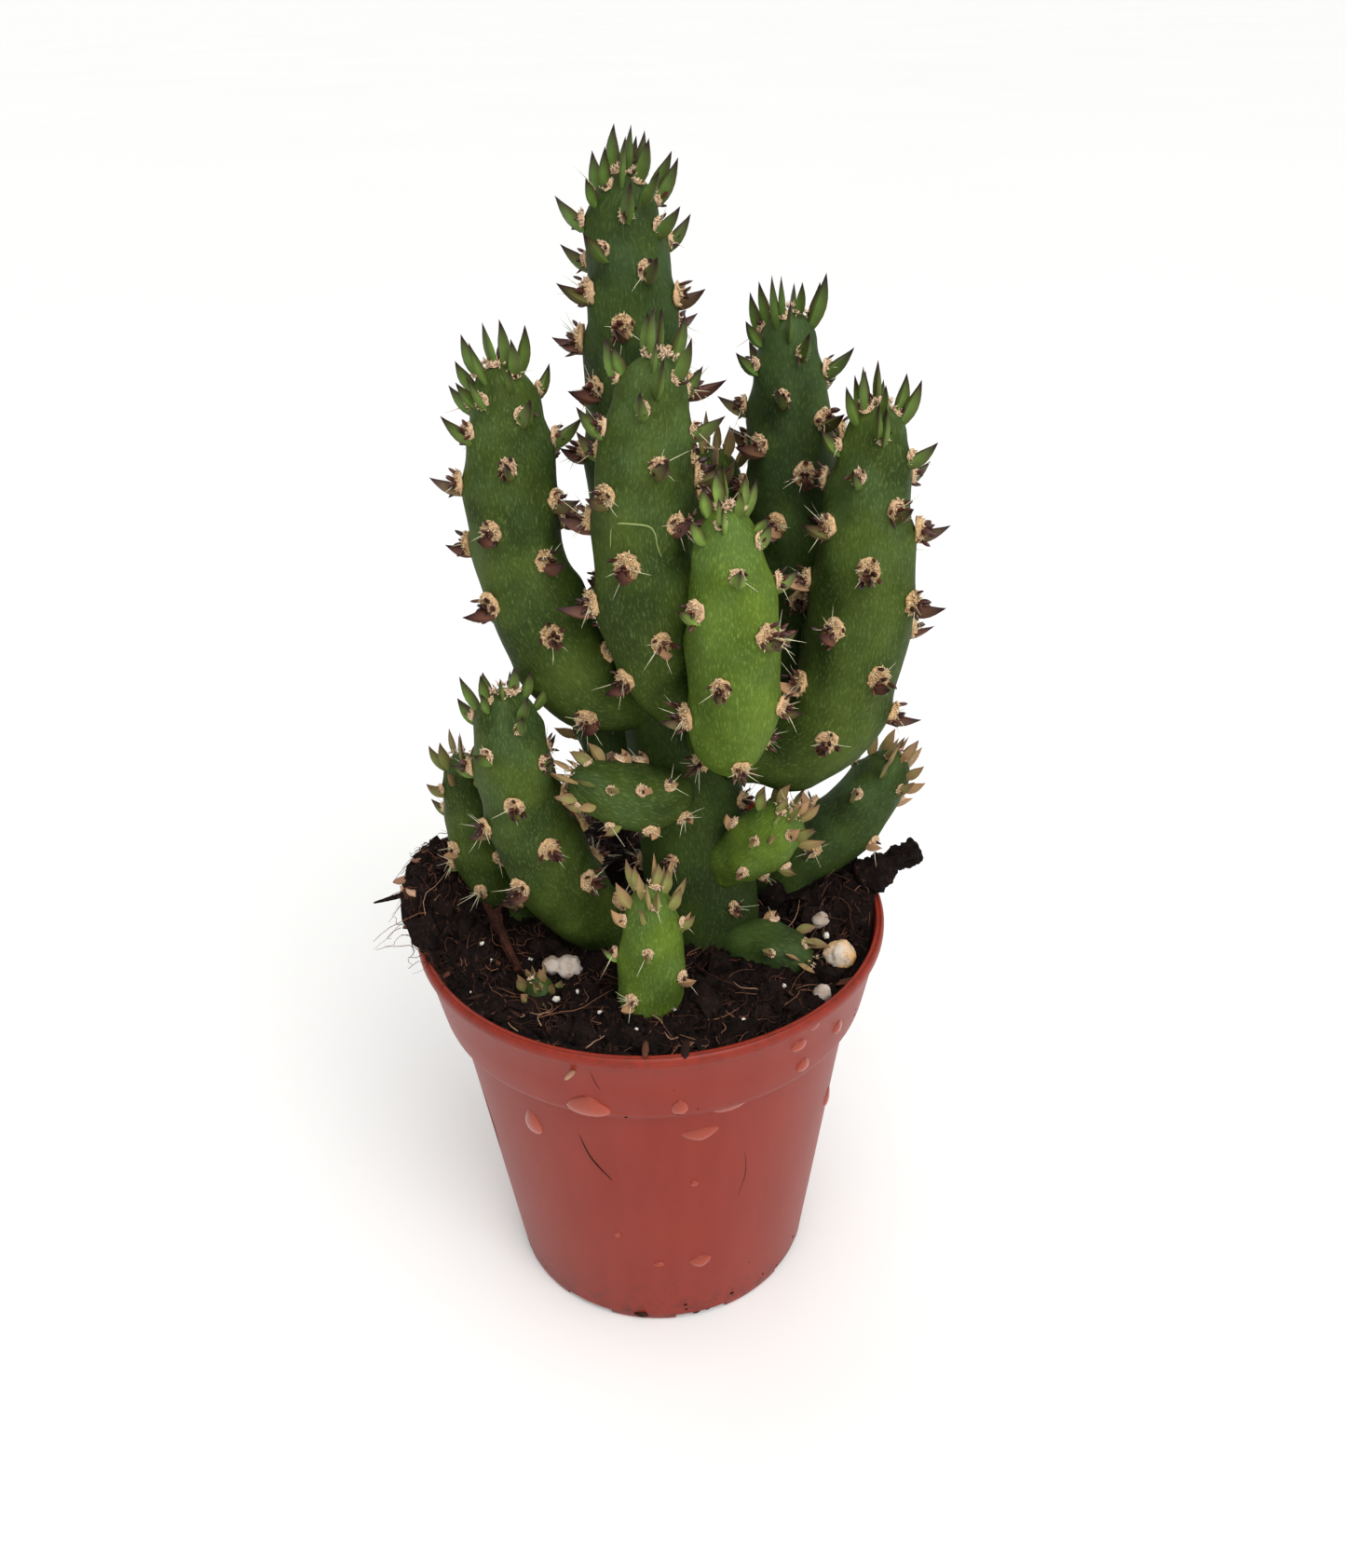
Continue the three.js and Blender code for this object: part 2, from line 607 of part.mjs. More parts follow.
// Thin-walled pot: tapered body, stepped collar, thin lip, raised floor, drain holes and a notched foot
function pot() {
  const collarFoot = POT_HEIGHT - COLLAR_HEIGHT;
  const lipFoot = POT_HEIGHT - LIP_HEIGHT;
  const innerRim = RIM_RADIUS - WALL;
  const profile = [
    [FOOT_RADIUS - FOOT_ROUND * 0.4 - WALL, 0],
    [FOOT_RADIUS - FOOT_ROUND * 0.35, 0],
    [FOOT_RADIUS, FOOT_ROUND],
    [SHOULDER_RADIUS, collarFoot - 0.6],
    [COLLAR_FOOT_RADIUS, collarFoot],
    [RIM_RADIUS - LIP_PROUD, lipFoot - 0.3],
    [RIM_RADIUS, lipFoot],
    [RIM_RADIUS, POT_HEIGHT - 0.4],
    [RIM_RADIUS - 0.4, POT_HEIGHT],
    [innerRim, POT_HEIGHT],
    [COLLAR_FOOT_RADIUS - WALL, collarFoot + 0.6],
    [SHOULDER_RADIUS - WALL, collarFoot - 1],
    [FOOT_RADIUS - WALL + 0.4, FLOOR_LIFT + FLOOR_THICKNESS],
    [0, FLOOR_LIFT + FLOOR_THICKNESS],
    [0, FLOOR_LIFT],
    [FOOT_RADIUS - FOOT_ROUND * 0.4 - WALL, FLOOR_LIFT],
    [FOOT_RADIUS - FOOT_ROUND * 0.4 - WALL, 0],
  ];
  const lathe = new THREE.LatheGeometry(profile.map(([r, z]) => new THREE.Vector2(r, z)), POT_SIDES);
  lathe.rotateX(Math.PI / 2);
  let solid = outwardSolid(mergedBare(lathe));
  for (let i = 0; i < NOTCH_COUNT; i++) {
    const bearing = radians(NOTCH_FIRST_DEG + (360 / NOTCH_COUNT) * i);
    const notch = new THREE.BoxGeometry(6, NOTCH_WIDTH, NOTCH_HEIGHT * 2);
    notch.translate(FOOT_RADIUS, 0, 0);
    notch.rotateZ(bearing);
    const drain = new THREE.CylinderGeometry(DRAIN_RADIUS, DRAIN_RADIUS, 8, 8);
    drain.rotateX(Math.PI / 2);
    drain.translate(DRAIN_CIRCLE * Math.cos(bearing), DRAIN_CIRCLE * Math.sin(bearing), FLOOR_LIFT);
    solid = solid.subtract(toSolid(notch)).subtract(toSolid(drain));
  }
  return solid;
}

// The pot's inner radius at a height, less the clearance
function soilRadius(z) {
  const collarFoot = POT_HEIGHT - COLLAR_HEIGHT;
  const floor = FLOOR_LIFT + FLOOR_THICKNESS;
  const low = FOOT_RADIUS - WALL + 0.4;
  const mid = SHOULDER_RADIUS - WALL;
  const high = COLLAR_FOOT_RADIUS - WALL;
  if (z < collarFoot) return THREE.MathUtils.mapLinear(z, floor, collarFoot, low, mid) - CLEARANCE;
  return THREE.MathUtils.mapLinear(z, collarFoot, POT_HEIGHT, high, RIM_RADIUS - WALL) - CLEARANCE;
}

// Potting soil: all that lies under its lumpy surface, inside the pot or heaped on the lip
function pottingSoil() {
  const floor = FLOOR_LIFT + FLOOR_THICKNESS + CLEARANCE;
  const reach = (bearing) => {
    const heap = Math.max(0, Math.cos(bearing - radians(HEAP_BEARING_DEG)));
    return HEAP_RADIUS + (HEAP_FARTHEST - HEAP_RADIUS) * heap ** 8;
  };
  const circle = (share, heightAt) =>
    Array.from({ length: SOIL_SIDES }, (_, j) => {
      const bearing = (2 * Math.PI * j) / SOIL_SIDES;
      const x = share * reach(bearing) * Math.cos(bearing);
      const y = share * reach(bearing) * Math.sin(bearing);
      return new THREE.Vector3(x, y, heightAt(x, y, j));
    });
  const rings = [circle(1, () => floor)];
  for (let k = SOIL_RINGS; k >= 1; k--) {
    rings.push(circle(k / SOIL_RINGS, (x, y, j) => soilHeight(x, y) + SOIL_LUMP * (draw(k, j) - 0.5)));
  }
  rings.push([new THREE.Vector3(0, 0, soilHeight(0, 0))]);
  const underSurface = toSolid(skinRings(rings));
  const collarFoot = POT_HEIGHT - COLLAR_HEIGHT;
  const lipTop = POT_HEIGHT + CLEARANCE;
  const room = [
    [0, floor],
    [soilRadius(floor), floor],
    [soilRadius(collarFoot - 1.2), collarFoot - 1.2],
    [soilRadius(collarFoot + 1), collarFoot + 1],
    [soilRadius(POT_HEIGHT), lipTop],
    [HEAP_FARTHEST + 1, lipTop],
    [HEAP_FARTHEST + 1, lipTop + 12],
    [0, lipTop + 12],
  ];
  const lathe = new THREE.LatheGeometry(room.map(([r, z]) => new THREE.Vector2(r, z)), POT_SIDES);
  lathe.rotateX(Math.PI / 2);
  return underSurface.intersect(outwardSolid(mergedBare(lathe)));
}

// A rough pebble: an icosahedron with seeded dents
function pebble(grain, seed, grow = 0) {
  const geometry = new THREE.IcosahedronGeometry(1, 1);
  const bare = mergedBare(geometry);
  const position = bare.attributes.position;
  for (let i = 0; i < position.count; i++) {
    const dent = 0.86 + 0.24 * draw(seed, i);
    position.setXYZ(
      i,
      position.getX(i) * (grain.half[0] * dent + grow),
      position.getY(i) * (grain.half[1] * dent + grow),
      position.getZ(i) * (grain.half[2] * dent + grow),
    );
  }
  bare.rotateY(radians(grain.tilt));
  bare.rotateZ(radians(grain.yaw));
  bare.translate(...grain.centre);
  return toSolid(bare);
}

// A rough chip between two points: rings whose radius is drawn from a seed, blunt at both ends
function chip(piece, seed, grow = 0) {
  const from = new THREE.Vector3(...piece.from);
  const to = new THREE.Vector3(...piece.to);
  const along = to.clone().sub(from).normalize();
  const across = along.clone().cross(UP).normalize();
  const other = along.clone().cross(across);
  const shares = [0, 0.12, 0.35, 0.6, 0.85, 1];
  const girth = [0.5, 0.95, 0.8, 0.9, 1, 0.45];
  const rings = shares.map((share, i) =>
    Array.from({ length: CHIP_SIDES }, (_, j) => {
      const bearing = (2 * Math.PI * j) / CHIP_SIDES;
      const radius = piece.radius * girth[i] * (0.82 + 0.36 * draw(seed + i, j)) + grow;
      return from
        .clone()
        .lerp(to, share)
        .addScaledVector(across, radius * Math.cos(bearing))
        .addScaledVector(other, radius * Math.sin(bearing));
    }),
  );
  return outwardSolid(skinRings(rings));
}

function alongChip(piece) {
  return [0, 0.25, 0.5, 0.75, 1].map((share) => ({
    at: new THREE.Vector3(...piece.from).lerp(new THREE.Vector3(...piece.to), share),
    radius: piece.radius * 1.15,
  }));
}

const looseThings = [
  ...GRAINS.map((grain) => ({
    at: new THREE.Vector3(...grain.centre),
    radius: Math.max(...grain.half) * 1.1,
  })),
  ...CHIPS.flatMap(([, piece]) => alongChip(piece)),
];

const cactus = new THREE.Group();

function addPiece(name, solid, color, roughness) {
  const material = new THREE.MeshStandardMaterial({ color, roughness, metalness: 0 });
  const mesh = new THREE.Mesh(toGeometry(solid), material);
  mesh.name = name;
  cactus.add(mesh);
}

addPiece("pot", pot(), 0x9c4a3c, 0.45);

let soil = pottingSoil();
for (const stem of STEMS) soil = soil.subtract(stemBody(traces.get(stem.name), CLEARANCE));
GRAINS.forEach((grain, i) => {
  soil = soil.subtract(pebble(grain, i + 1, CLEARANCE));
  addPiece(grain.name, pebble(grain, i + 1), grain.color, 0.95);
});
CHIPS.forEach(([name, piece], i) => {
  soil = soil.subtract(chip(piece, CHIP_SEED + i, CLEARANCE));
  addPiece(name, chip(piece, CHIP_SEED + i), piece.color, 0.95);
});
addPiece("potting_soil", largestBody(soil), 0x2a1d18, 0.95);

STEMS.forEach((stem, i) => addPiece(stem.name, dressedStem(stem, i + 1), stem.color, 0.5));

export default cactus;
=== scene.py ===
"""Looks of a potted eve's needle cactus, built around its packed CAD frame.

Sizes are millimetres, as in the CAD, with the viewer at -Y and the ground plane at Z 0. A piece is modelled
in millimetres and brought to Blender's metres when it is finished.
"""

import math

import bmesh
import bpy
import numpy as np
from bpy.props import FloatProperty, FloatVectorProperty, IntProperty, PointerProperty
from mathutils import Matrix, Vector, noise


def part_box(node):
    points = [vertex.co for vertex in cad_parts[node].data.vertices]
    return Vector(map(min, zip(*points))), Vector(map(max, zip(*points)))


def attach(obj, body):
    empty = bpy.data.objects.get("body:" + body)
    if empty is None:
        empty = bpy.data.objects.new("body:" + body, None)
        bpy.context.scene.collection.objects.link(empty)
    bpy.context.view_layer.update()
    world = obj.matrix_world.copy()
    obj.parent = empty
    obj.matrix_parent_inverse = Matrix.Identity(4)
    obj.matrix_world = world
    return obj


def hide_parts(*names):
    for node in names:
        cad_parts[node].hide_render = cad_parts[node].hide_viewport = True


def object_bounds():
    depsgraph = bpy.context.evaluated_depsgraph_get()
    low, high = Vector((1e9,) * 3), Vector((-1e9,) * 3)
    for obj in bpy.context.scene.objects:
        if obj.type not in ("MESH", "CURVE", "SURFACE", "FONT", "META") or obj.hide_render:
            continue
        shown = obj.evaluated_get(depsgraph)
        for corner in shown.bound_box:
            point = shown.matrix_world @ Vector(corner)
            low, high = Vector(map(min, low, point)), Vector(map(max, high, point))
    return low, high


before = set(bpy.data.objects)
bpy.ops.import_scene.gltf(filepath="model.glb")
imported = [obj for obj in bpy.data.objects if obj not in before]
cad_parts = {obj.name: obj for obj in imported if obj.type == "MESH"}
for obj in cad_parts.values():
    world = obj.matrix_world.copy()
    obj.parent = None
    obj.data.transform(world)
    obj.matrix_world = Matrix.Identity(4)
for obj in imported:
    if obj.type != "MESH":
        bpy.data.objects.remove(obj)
cad_low, cad_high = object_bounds()

bl_info = {
    "name": "Potted eve's needle cactus",
    "version": (1, 0, 0),
    "blender": (4, 5, 0),
    "location": "View3D > Sidebar > Cactus",
    "description": "Pot, soil, stems, leaves and areoles of a small potted cactus",
    "category": "Add Mesh",
}

MM = 0.001
BODY = "root"
SEED = 20

# The camera of the photograph, worked out from the pot's rim and foot
CAMERA_PLACE = (0.0, -136.4, 145.5)
CAMERA_YAW_DEG = 1.30
CAMERA_PITCH_DEG = 30.07
CAMERA_ROLL_DEG = -1.65
FOCAL_PIXELS = 1500.0
FRAME_HEIGHT_PIXELS = 1683.0
SENSOR_MM = 36.0
SUN_ANGLE_DEG = 75.0

# Each stem: its slot, axis points with the radius there from foot to tip, and how its areoles wind round it:
# winding sense, divergence and first bearing in degrees, distance from the tip as pitch times number to the
# power crowd, leaf length at tip and foot, and how dry its leaves are
STEMS = [
    ("main_stem", "stem_dark",
     [(6.5, 0.5, 39.5, 4.5), (6.5, 0.5, 43, 6), (6.5, 0.5, 48, 6.5), (5.5, 0.5, 59, 6.5), (4, 1, 71, 6),
      (2.5, 1.5, 83.5, 5.5), (1, 2, 96.5, 5.5), (0.5, 2, 109, 5), (0.5, 2, 120, 4), (0, 2, 125.5, 3.5),
      (0.5, 2, 129, 2.5)], 1, 137.3, 345, 0.043, 1.84, 4.2, 3.8, 1.0),
    ("branch_front_left", "stem",
     [(3.6, -3.5, 78.4, 2.4), (2.2, -6.8, 83, 3.6), (1, -8.5, 91, 5), (0.5, -8.5, 98.5, 4.5),
      (1, -8.5, 106, 4.5), (2, -8.5, 112, 3.5), (2.5, -8.5, 115, 2.5)],
     -1, 138.7, 320, 0.309, 1.39, 4.2, 3.8, 0.9),
    ("branch_left", "stem",
     [(0, -1.2, 77.5, 2.5), (-3.3, -2.6, 78.7, 3.6), (-5.9, -3, 80.2, 4.3), (-8, -2.8, 83.8, 4.8),
      (-10, -2.3, 88.5, 5), (-12, -2, 96, 4.5), (-12, -2, 103.5, 4.5), (-12, -1.5, 109.5, 3.5),
      (-12.5, -1.5, 113, 2.5)],
     1, 139.2, 353, 0.096, 1.71, 3.9, 3.7, 1.0),
    ("branch_front", "stem_bright",
     [(6.6, -3.2, 74.4, 2.4), (8.3, -7, 75.8, 3), (8.7, -10.8, 78.2, 4), (9, -13.2, 83.5, 4.5),
      (9, -13.7, 90, 4.5), (8.7, -13.6, 95.5, 4), (8.5, -13.5, 100, 3), (8.5, -13.5, 102.5, 2)],
     -1, 138.2, 254, 0.203, 1.58, 3.2, 3, 0.5),
    ("branch_right_back", "stem_dark",
     [(9, 3, 70, 2.5), (11.5, 4, 70.5, 2.6), (14.2, 5.4, 73.4, 3.6), (16.5, 6.3, 78.5, 4.5),
      (17.5, 6.6, 86, 5), (17, 6.4, 95.5, 5), (16.5, 6, 104, 4.5), (16, 5.7, 110.5, 3.5),
      (16, 5.5, 115.5, 2.5)], 1, 137.6, 325, 0.52, 1.18, 4.1, 3.7, 0.9),
    ("branch_right", "stem",
     [(9, -1.5, 70.5, 2.5), (12.5, -2.6, 71, 3), (16, -3.2, 72, 4.3), (20, -3.6, 75.5, 5),
      (22, -3.6, 82.5, 5.4), (23, -3.5, 90, 5.4), (23, -3.5, 98, 4.5), (23.5, -3.5, 104.5, 3.5),
      (23.5, -3.5, 108.5, 2.5)], 1, 137.9, 171, 0.163, 1.56, 3.9, 3.9, 0.8),
    ("branch_back", "stem",
     [(5.5, 4, 80, 2.3), (7.6, 6.6, 82.5, 2.7), (8.3, 8.6, 88.5, 3.3), (8.3, 9.6, 95, 3.6),
      (8.3, 9.8, 99, 3.3), (8.3, 9.8, 101, 2.3)], -1, 137.5, 40, 0.3, 1.35, 3.2, 2.8, 1.0),
    ("shoot_lower_left", "stem",
     [(-3.2, -1, 40.5, 2.3), (-3.4, -1.2, 44, 3), (-4.6, -1.7, 48, 3.6), (-8, -2.7, 52.2, 4.4),
      (-10.8, -4.2, 58.5, 4.8), (-12.8, -5.9, 66, 4.5), (-13.8, -7.6, 74.5, 4), (-14, -8.2, 79.5, 3.4),
      (-14, -8.3, 82, 2.5)], -1, 138.5, 82, 0.31, 1.43, 3.2, 2.8, 0.7),
    ("shoot_far_left", "stem",
     [(-14, 3, 41.5, 2), (-14.6, 3, 44.5, 2.6), (-15.8, 3, 48, 3), (-18.5, 2.5, 53, 3), (-20, 2, 59, 3),
      (-20.5, 1.5, 65.5, 2.5), (-20.5, 1, 70, 2)], -1, 139.2, 79, 2.2, 0.82, 2.8, 2.4, 0.5),
    ("bud_left", "stem",
     [(3, -4.5, 68, 2.3), (1.5, -7, 69, 3), (-0.8, -8.8, 70, 3.5), (-3.4, -9.8, 71.4, 3.3),
      (-5.6, -10.3, 72.8, 2.8), (-6.9, -10.4, 73.6, 2.2)], -1, 141.1, 236, 0.5, 1.08, 2.4, 2, 0.6),
    ("bud_right", "stem_bright",
     [(8.5, -3.2, 57.5, 2.4), (10.3, -5.2, 60, 3), (12.4, -6.9, 62.8, 3.5), (14, -8, 65.2, 3.2),
      (14.9, -8.6, 66.9, 2.4)], -1, 138.5, 73, 0.116, 1.68, 2.6, 2.2, 0.5),
    ("shoot_front", "stem_bright",
     [(-0.5, -15, 41.5, 2.3), (-0.5, -15, 44.5, 3), (-0.5, -15, 48.5, 3.5), (0, -15, 53.5, 3.5),
      (0, -15, 58.5, 3), (0, -15, 62, 2)], 1, 139.3, 97, 0.245, 1.54, 3.1, 2.6, 0.4),
    ("shoot_far_right", "stem_dark",
     [(16, 5, 41.5, 1.9), (16, 5, 45, 2.1), (16, 4.4, 49, 2.6), (18, 4.4, 52.4, 3.3), (21.5, 5, 55, 3.9),
      (25, 5.5, 58.8, 3.9), (28, 6, 62.8, 3.2), (29.3, 6, 65, 2.4)],
     -1, 141.5, 88, 0.224, 1.72, 2.8, 2.4, 0.5),
    ("shoot_low_stub", "stem_dark",
     [(9, -3.6, 46.6, 2.2), (11, -5, 47.6, 2.7), (13.4, -6.6, 48.2, 3), (15.8, -8.2, 48.2, 2.8),
      (17.2, -9.1, 47.9, 2.2)], 1, 141.2, 352, 0.29, 1.36, 2.2, 1.8, 0.4),
    ("sprout_tiny", "stem",
     [(-12.7, -12.4, 43.5, 1.3), (-12.7, -12.4, 46, 1.7), (-12.8, -12.6, 48.2, 1.8),
      (-12.9, -12.8, 49.2, 1.4)], 1, 137.5, 20, 0.9, 1.1, 1.6, 1.4, 0.3),
    ("bud_back", "stem_dark",
     [(2.6, 4.6, 63, 2.3), (0, 6.2, 64.4, 3), (-2.6, 7.2, 66.8, 3.2), (-5, 7.8, 69.8, 3),
      (-6.8, 8, 72.4, 2.2)], 1, 138.1, 60, 0.42, 1.15, 2.4, 2, 0.8),
]
SAMPLES = 120
DOME_ZONE = 2.0
DOME_SHARE = 0.45
CUSHION_RADIUS = 1.35
CUSHION_FROM = 2.4
LEAF_BALL = 0.9
SHORTEST_LEAF = 1.3
NEEDLE_LENGTH = 3.2
NEEDLE_BALL = 0.3
NEEDLE_EVERY = 5
BELLY_OUT = 0.1
ROOT_DEPTH = 0.8
FREE_GAP = 0.4
SOIL_FREE = 1.1
CLEARANCE = 0.3

SPINE_RADIUS = 0.055
SPINE_ROWS = 3
WOOL_ABOVE = 0.4
# Wisps of wool on a stem's tip
CROWN_WISPS = 70

# A stem shorter than this is a low shoot, whose areoles are small and carry withered leaves
LOW_SHOOT = 30.0
# A stem shorter than this is a sprout, whose areoles are smaller still
SPROUT = 6.0

# Tubercles, the low swellings that carry the areoles
TUBERCLE_ACROSS = 1.9
TUBERCLE_ABOVE = 1.5
TUBERCLE_BELOW = 3.0
TUBERCLE_SUNK = 0.2

# How far down from the tip the skin's bluish bloom reaches
BLOOM_REACH = 28.0

# How far down the tip the scar on the front left branch starts
SCAR_TOP = 13.4

# Potting soil: mounds over the level as centre, spread and height, and the heap that lies over the lip
SOIL_LEVEL = 47.3
MOUNDS = [(-26.5, 4, 8.5, 6), (-21, 13, 9, 3.5), (23.5, 3, 7, 4.4), (4, 22, 11, 2.4), (0, -22, 9, 0.8),
          (-16, -12, 5, -0.6)]
HEAP_RADIUS = 28.2
HEAP_FARTHEST = 29.8
HEAP_BEARING_DEG = 172.0
SOIL_GRID = 170
# Fibres in a tuft; the next so many fibres after a tuft lie apart
TUFT_SIZE = 9

# Pot, as in the CAD
RIM_RADIUS = 27.5
COLLAR_FOOT_RADIUS = 25.5
SHOULDER_RADIUS = 23.9
FOOT_RADIUS = 18.9
POT_HEIGHT = 50.0
COLLAR_HEIGHT = 10.0
LIP_HEIGHT = 1.2
LIP_PROUD = 0.5
WALL = 1.0
FLOOR_LIFT = 1.4
FLOOR_TOP = 2.6
NOTCH_COUNT = 8
NOTCH_FIRST_DEG = -76.5
NOTCH_SIZE = (6.0, 6.5, 2.0)
DRAIN_RADIUS = 1.6
DRAIN_CIRCLE = 14.5

# Loose pieces: centre, half sizes, turn about Z and tilt in degrees, slot
GRAINS = [
    ("perlite_left", (-10.2, -9, 48.4), (2.6, 1.7, 1.5), -8, 0, "perlite"),
    ("perlite_right", (21.3, -9.6, 48.9), (1.9, 2, 1.8), 20, 10, "perlite_stained"),
    ("perlite_small", (18.4, -16, 48.4), (1.1, 0.9, 1.4), 0, 8, "perlite"),
    ("perlite_far", (19.8, -3.6, 49.4), (1.2, 1, 1), 30, 0, "perlite"),
]

# Water drops on the pot's wall: bearing in degrees, height, half width, half height, how far they hang down
DROPS = [
    (-107, 41.7, 2.3, 1.7, 0.5), (-85, 41.9, 0.9, 1.15, 0.25), (-71, 38.9, 2.2, 1.3, 0.15),
    (-79, 35.3, 2.0, 1.05, -0.5), (-128, 33.9, 1.15, 2.1, 0.5), (-22, 26.5, 0.9, 1.7, 0.3),
    (-55, 46.3, 1.1, 0.8, 0.1), (-51, 48.2, 0.8, 0.6, 0.1), (-52, 42.4, 0.9, 1.0, 0.2),
    (-80.5, 26.8, 0.5, 0.4, 0.1), (-77.8, 11.6, 1.3, 1.0, -0.3), (-105, 17.4, 0.35, 0.45, 0.2),
    (-40, 44.5, 0.8, 1.0, 0.2), (-92, 12.0, 0.7, 0.3, 0.0), (28, 40.5, 1.4, 1.5, 0.4),
    (95, 43.0, 1.6, 1.2, 0.3), (150, 30.0, 1.0, 1.6, 0.5), (70, 22.0, 0.8, 0.7, 0.2),
]


def linear(hex_colour):
    """An sRGB hex colour as linear red, green, blue and alpha."""
    parts = [int(hex_colour[i : i + 2], 16) / 255 for i in (1, 3, 5)]
    return tuple(v / 12.92 if v <= 0.04045 else ((v + 0.055) / 1.055) ** 2.4 for v in parts) + (1.0,)


def smoothstep(value, low, high):
    share = np.clip((value - low) / (high - low), 0.0, 1.0)
    return share * share * (3.0 - 2.0 * share)


def unit(vectors):
    return vectors / np.linalg.norm(vectors, axis=-1, keepdims=True)


def draw(seed, index):
    """A number from 0 to 1 that is the same each time for the same pair, as in the CAD."""
    wave = math.sin(seed * 127.1 + index * 311.7) * 43758.5453
    return wave - math.floor(wave)


# Meshes


def deselect_all():
    if bpy.context.object and bpy.context.object.mode != "OBJECT":
        bpy.ops.object.mode_set(mode="OBJECT")
    bpy.ops.object.select_all(action="DESELECT")


def select_parts(piece, kind, test):
    """In edit mode, selects the vertices, edges or faces that pass the test and nothing else."""
    bpy.ops.mesh.select_all(action="DESELECT")
    bpy.ops.mesh.select_mode(type=kind)
    mesh = bmesh.from_edit_mesh(piece.data)
    parts = {"VERT": mesh.verts, "EDGE": mesh.edges, "FACE": mesh.faces}[kind]
    for part in parts:
        part.select_set(bool(test(part)))
    bmesh.update_edit_mesh(piece.data)


def add_rod(sides, rows):
    """A closed rod up the Z axis, one unit long and thick, in rows of faces, to be bent and tapered."""
    deselect_all()
    bpy.ops.mesh.primitive_cylinder_add(vertices=sides, radius=1.0, depth=1.0, end_fill_type="TRIFAN")
    rod = bpy.context.object
    if rows > 1:
        bpy.ops.object.mode_set(mode="EDIT")
        select_parts(rod, "EDGE", lambda edge: abs(edge.verts[0].co.z - edge.verts[1].co.z) > 0.5)
        bpy.ops.mesh.subdivide(number_cuts=rows - 1)
        bpy.ops.object.mode_set(mode="OBJECT")
    return rod


def read_points(piece):
    points = np.empty(len(piece.data.vertices) * 3)
    piece.data.vertices.foreach_get("co", points)
    return points.reshape(-1, 3)


def write_points(piece, points):
    piece.data.vertices.foreach_set("co", np.ascontiguousarray(points, dtype=np.float32).ravel())
    piece.data.update()


def take_shape(piece):
    """The points and faces of a piece that is to be copied; the piece itself goes."""
    points = read_points(piece)
    faces = [tuple(face.vertices) for face in piece.data.polygons]
    mesh = piece.data
    bpy.data.objects.remove(piece)
    bpy.data.meshes.remove(mesh)
    return points, faces


def write_values(mesh, name, values):
    """A vector for each vertex, which a material reads by its name."""
    attribute = mesh.attributes.new(name, "FLOAT_VECTOR", "POINT")
    attribute.data.foreach_set("vector", np.ascontiguousarray(values, dtype=np.float32).ravel())


def cut_foot():
    """Cuts the active piece off flat a little under its middle and closes the cut."""
    bpy.ops.object.mode_set(mode="EDIT")
    bpy.ops.mesh.select_all(action="SELECT")
    bpy.ops.mesh.bisect(plane_co=(0, 0, -0.3), plane_no=(0, 0, 1), use_fill=True, clear_inner=True)
    bpy.ops.object.mode_set(mode="OBJECT")


def close_end():
    """Draws what is selected into one point and turns all faces of the piece outwards."""
    bpy.ops.mesh.merge(type="CENTER")
    bpy.ops.mesh.select_all(action="SELECT")
    bpy.ops.mesh.normals_make_consistent(inside=False)
    bpy.ops.object.mode_set(mode="OBJECT")


def join_copies(name, groups, value_name=None):
    """One piece from groups of copies, each with its copies' points, the shape's faces and its values."""
    points, corners, starts, values = [], [], [], []
    first = loops = 0
    for copies, faces, own_values in groups:
        count, size = copies.shape[:2]
        flat = np.concatenate([np.array(face) for face in faces])
        sizes = np.array([len(face) for face in faces])
        begins = np.concatenate([[0], np.cumsum(sizes)[:-1]])
        corners.append((flat[None, :] + first + size * np.arange(count)[:, None]).ravel())
        starts.append((begins[None, :] + loops + len(flat) * np.arange(count)[:, None]).ravel())
        points.append(copies.reshape(-1, 3))
        if value_name:
            values.append(own_values.reshape(-1, 3))
        first += count * size
        loops += count * len(flat)
    mesh = bpy.data.meshes.new(name)
    points = np.concatenate(points)
    corners = np.concatenate(corners)
    starts = np.concatenate(starts)
    mesh.vertices.add(len(points))
    mesh.vertices.foreach_set("co", points.astype(np.float32).ravel())
    mesh.loops.add(len(corners))
    mesh.loops.foreach_set("vertex_index", corners.astype(np.int32))
    mesh.polygons.add(len(starts))
    mesh.polygons.foreach_set("loop_start", starts.astype(np.int32))
    mesh.update(calc_edges=True)
    mesh.validate()
    if value_name:
        write_values(mesh, value_name, np.concatenate(values))
    piece = bpy.data.objects.new(name, mesh)
    bpy.context.scene.collection.objects.link(piece)
    return piece


def finish_piece(piece, name, slot, material, replaced=(), angle_deg=None):
    """Brings a piece to metres at the origin and says what it rides on, stands for and is finished as."""
    deselect_all()
    piece.select_set(True)
    bpy.context.view_layer.objects.active = piece
    bpy.ops.object.transform_apply(location=True, rotation=True, scale=True)
    piece.name = name
    piece.data.name = name
    piece.data.transform(Matrix.Scale(MM, 4))
    piece.data.materials.clear()
    piece.data.materials.append(material)
    if angle_deg is None:
        bpy.ops.object.shade_smooth()
    else:
        bpy.ops.object.shade_smooth_by_angle(angle=math.radians(angle_deg))
    piece.select_set(False)
    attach(piece, BODY)
    if replaced:
        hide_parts(*replaced)
    return piece


def apply_modifier(piece, kind, **settings):
    modifier = piece.modifiers.new(kind.title(), kind)
    for key, value in settings.items():
        setattr(modifier, key, value)
    bpy.context.view_layer.objects.active = piece
    bpy.ops.object.modifier_apply(modifier=modifier.name)


